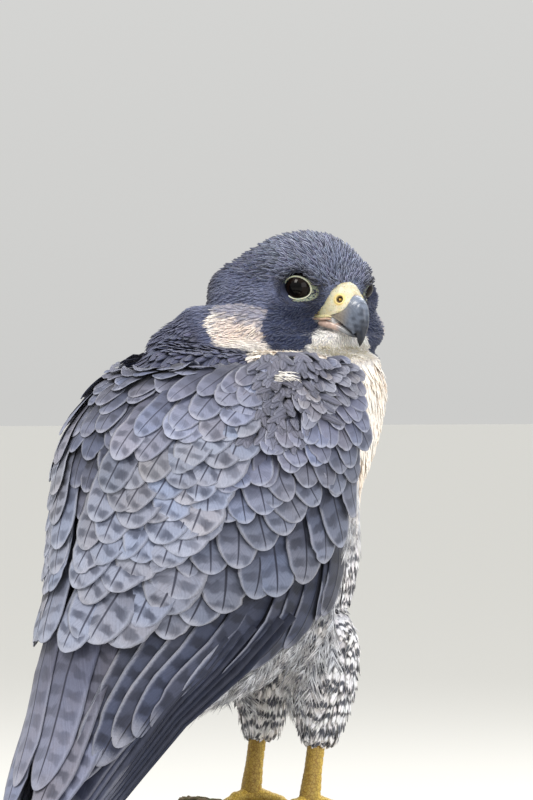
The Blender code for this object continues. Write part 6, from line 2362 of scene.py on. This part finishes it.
@dataclass
class Studio:
    """A pale floor, soft light and the camera at the photo's angle."""

    azimuth: float = -35.0
    distance: float = 2.4
    lens: float = 212.0
    aim: float = 0.305

    def lamp(self, name: str, place: Vector, aim: Vector, size: float, power: float, colour: str) -> None:
        """Sets up one soft square lamp."""
        lamp = bpy.data.lights.new(name, "AREA")
        lamp.size, lamp.energy, lamp.color = size, power, linear(colour)
        thing = bpy.data.objects.new(name, lamp)
        thing.location = place
        thing.rotation_euler = (aim - place).to_track_quat("-Z", "Y").to_euler()
        bpy.context.scene.collection.objects.link(thing)

    def build(self) -> None:
        """Makes the floor, lights and camera."""
        turn = math.radians(self.azimuth)
        toward = Vector((math.sin(turn), -math.cos(turn), 0))
        right = Vector((math.cos(turn), math.sin(turn), 0))
        work = bmesh.new()
        bmesh.ops.create_grid(work, x_segments=1, y_segments=1, size=45)
        floor = to_object("floor", work)
        g = Graph("matt pale paper")
        floor.data.materials.append(g.finish(Base_Color=linear("#d6d5d1"), Roughness=0.9))
        world = bpy.data.worlds.new("studio")
        bpy.context.scene.world = world
        world.use_nodes = True
        sky = world.node_tree.nodes["Background"]
        sky.inputs[0].default_value = (*linear("#e6e6e4"), 1)
        nodes, links = world.node_tree.nodes, world.node_tree.links
        parts, more = nodes.new("ShaderNodeSeparateXYZ"), nodes.new("ShaderNodeMapRange")
        links.new(nodes.new("ShaderNodeTexCoord").outputs["Generated"], parts.inputs[0])
        links.new(parts.outputs[2], more.inputs[0])
        for k, value in enumerate((0.0, 1.0, 0.77, 1.5)):
            more.inputs[k + 1].default_value = value
        links.new(more.outputs[0], sky.inputs[1])
        aim = Vector((0, 0, self.aim))
        self.lamp("key", aim + toward * 1.0 - right * 0.75 + Vector((0, 0, 1.5)), aim, 0.7, 30, "#fffaf2")
        self.lamp("fill", aim + toward * 1.5 + right * 1.3 + Vector((0, 0, 0.5)), aim, 1.3, 16, "#f6f7ff")
        self.lamp("back", aim - toward * 1.2 + right * 0.5 + Vector((0, 0, 1.2)), aim, 0.9, 14, "#ffffff")
        camera = bpy.data.cameras.new("camera")
        camera.lens = self.lens
        camera.clip_end = 100
        eye = bpy.data.objects.new("camera", camera)
        eye.location = aim + toward * self.distance
        eye.rotation_euler = (-toward).to_track_quat("-Z", "Y").to_euler()
        bpy.context.scene.collection.objects.link(eye)
        bpy.context.scene.camera = eye
        bpy.context.scene.view_settings.view_transform = "Standard"


def main() -> None:
    """Builds the falcon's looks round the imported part."""
    logging.basicConfig(level=logging.INFO, format="%(message)s")
    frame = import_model()
    ground = Ground(Skin().build())
    feather = FeatherFinish().make()
    small = SmallPlumage(ground, feather)
    small.head()
    small.body()
    vanes = Vanes(feather, np.random.default_rng(5))
    vanes.mantle()
    for side, word in ((1, "right"), (-1, "left")):
        vanes.wing(side)
        Plumes(ground, feather, side).build(f"coat_plumes_{word}")
    Tail(vanes).build()
    wax = TintedFinish("waxy bare skin", 0.42, 0.7, 0.35, 3.0, (0.93, 0.89, 0.78), gloss=0.45,
        under=0.12).make()
    horn = TintedFinish("polished horn", 0.27, 0.5, 0.18, 4.0, (0.86, 0.87, 0.9), gloss=0.55).make()
    cornea = EyeFinish().make()
    for side, word in ((1, "left"), (-1, "right")):
        eye = Eye(side, ground)
        place_piece(eye.globe(cornea), Slot.EYE, f"eye_{word}")
        place_piece(eye.lids(wax), Slot.CERE)
    bill = Bill()
    place_piece(bill.cere(wax), Slot.CERE, "cere")
    place_piece(bill.horn(horn), Slot.BILL, "bill_upper")
    place_piece(bill.lower(horn), Slot.BILL, "bill_lower")
    place_piece(bill.gape(wax), Slot.CERE)
    bill.bristles(feather)
    scale_look = TintedFinish("scaled yellow skin", 0.5, 0.8, 0.6, 3.0, (0.9, 0.86, 0.72), cells_mm=1.6)
    claw_look = TintedFinish("claw horn", 0.25, 0.6, 0.15, 3.0, (0.8, 0.8, 0.85))
    scale, claw = scale_look.make(), claw_look.make()
    for side in (1, -1):
        Foot(side, scale_look, claw_look).build(scale, claw)
    Perch().build(BarkFinish().make())
    stand = {"stand_base": WoodFinish().make(), "stand_rod": SteelFinish().make()}
    for name, node in frame["nodes"].items():
        for key, look in stand.items():
            if name.startswith(key):
                node.data.materials.clear()
                node.data.materials.append(look)
    Studio().build()


if __name__ == "__main__":
    main()
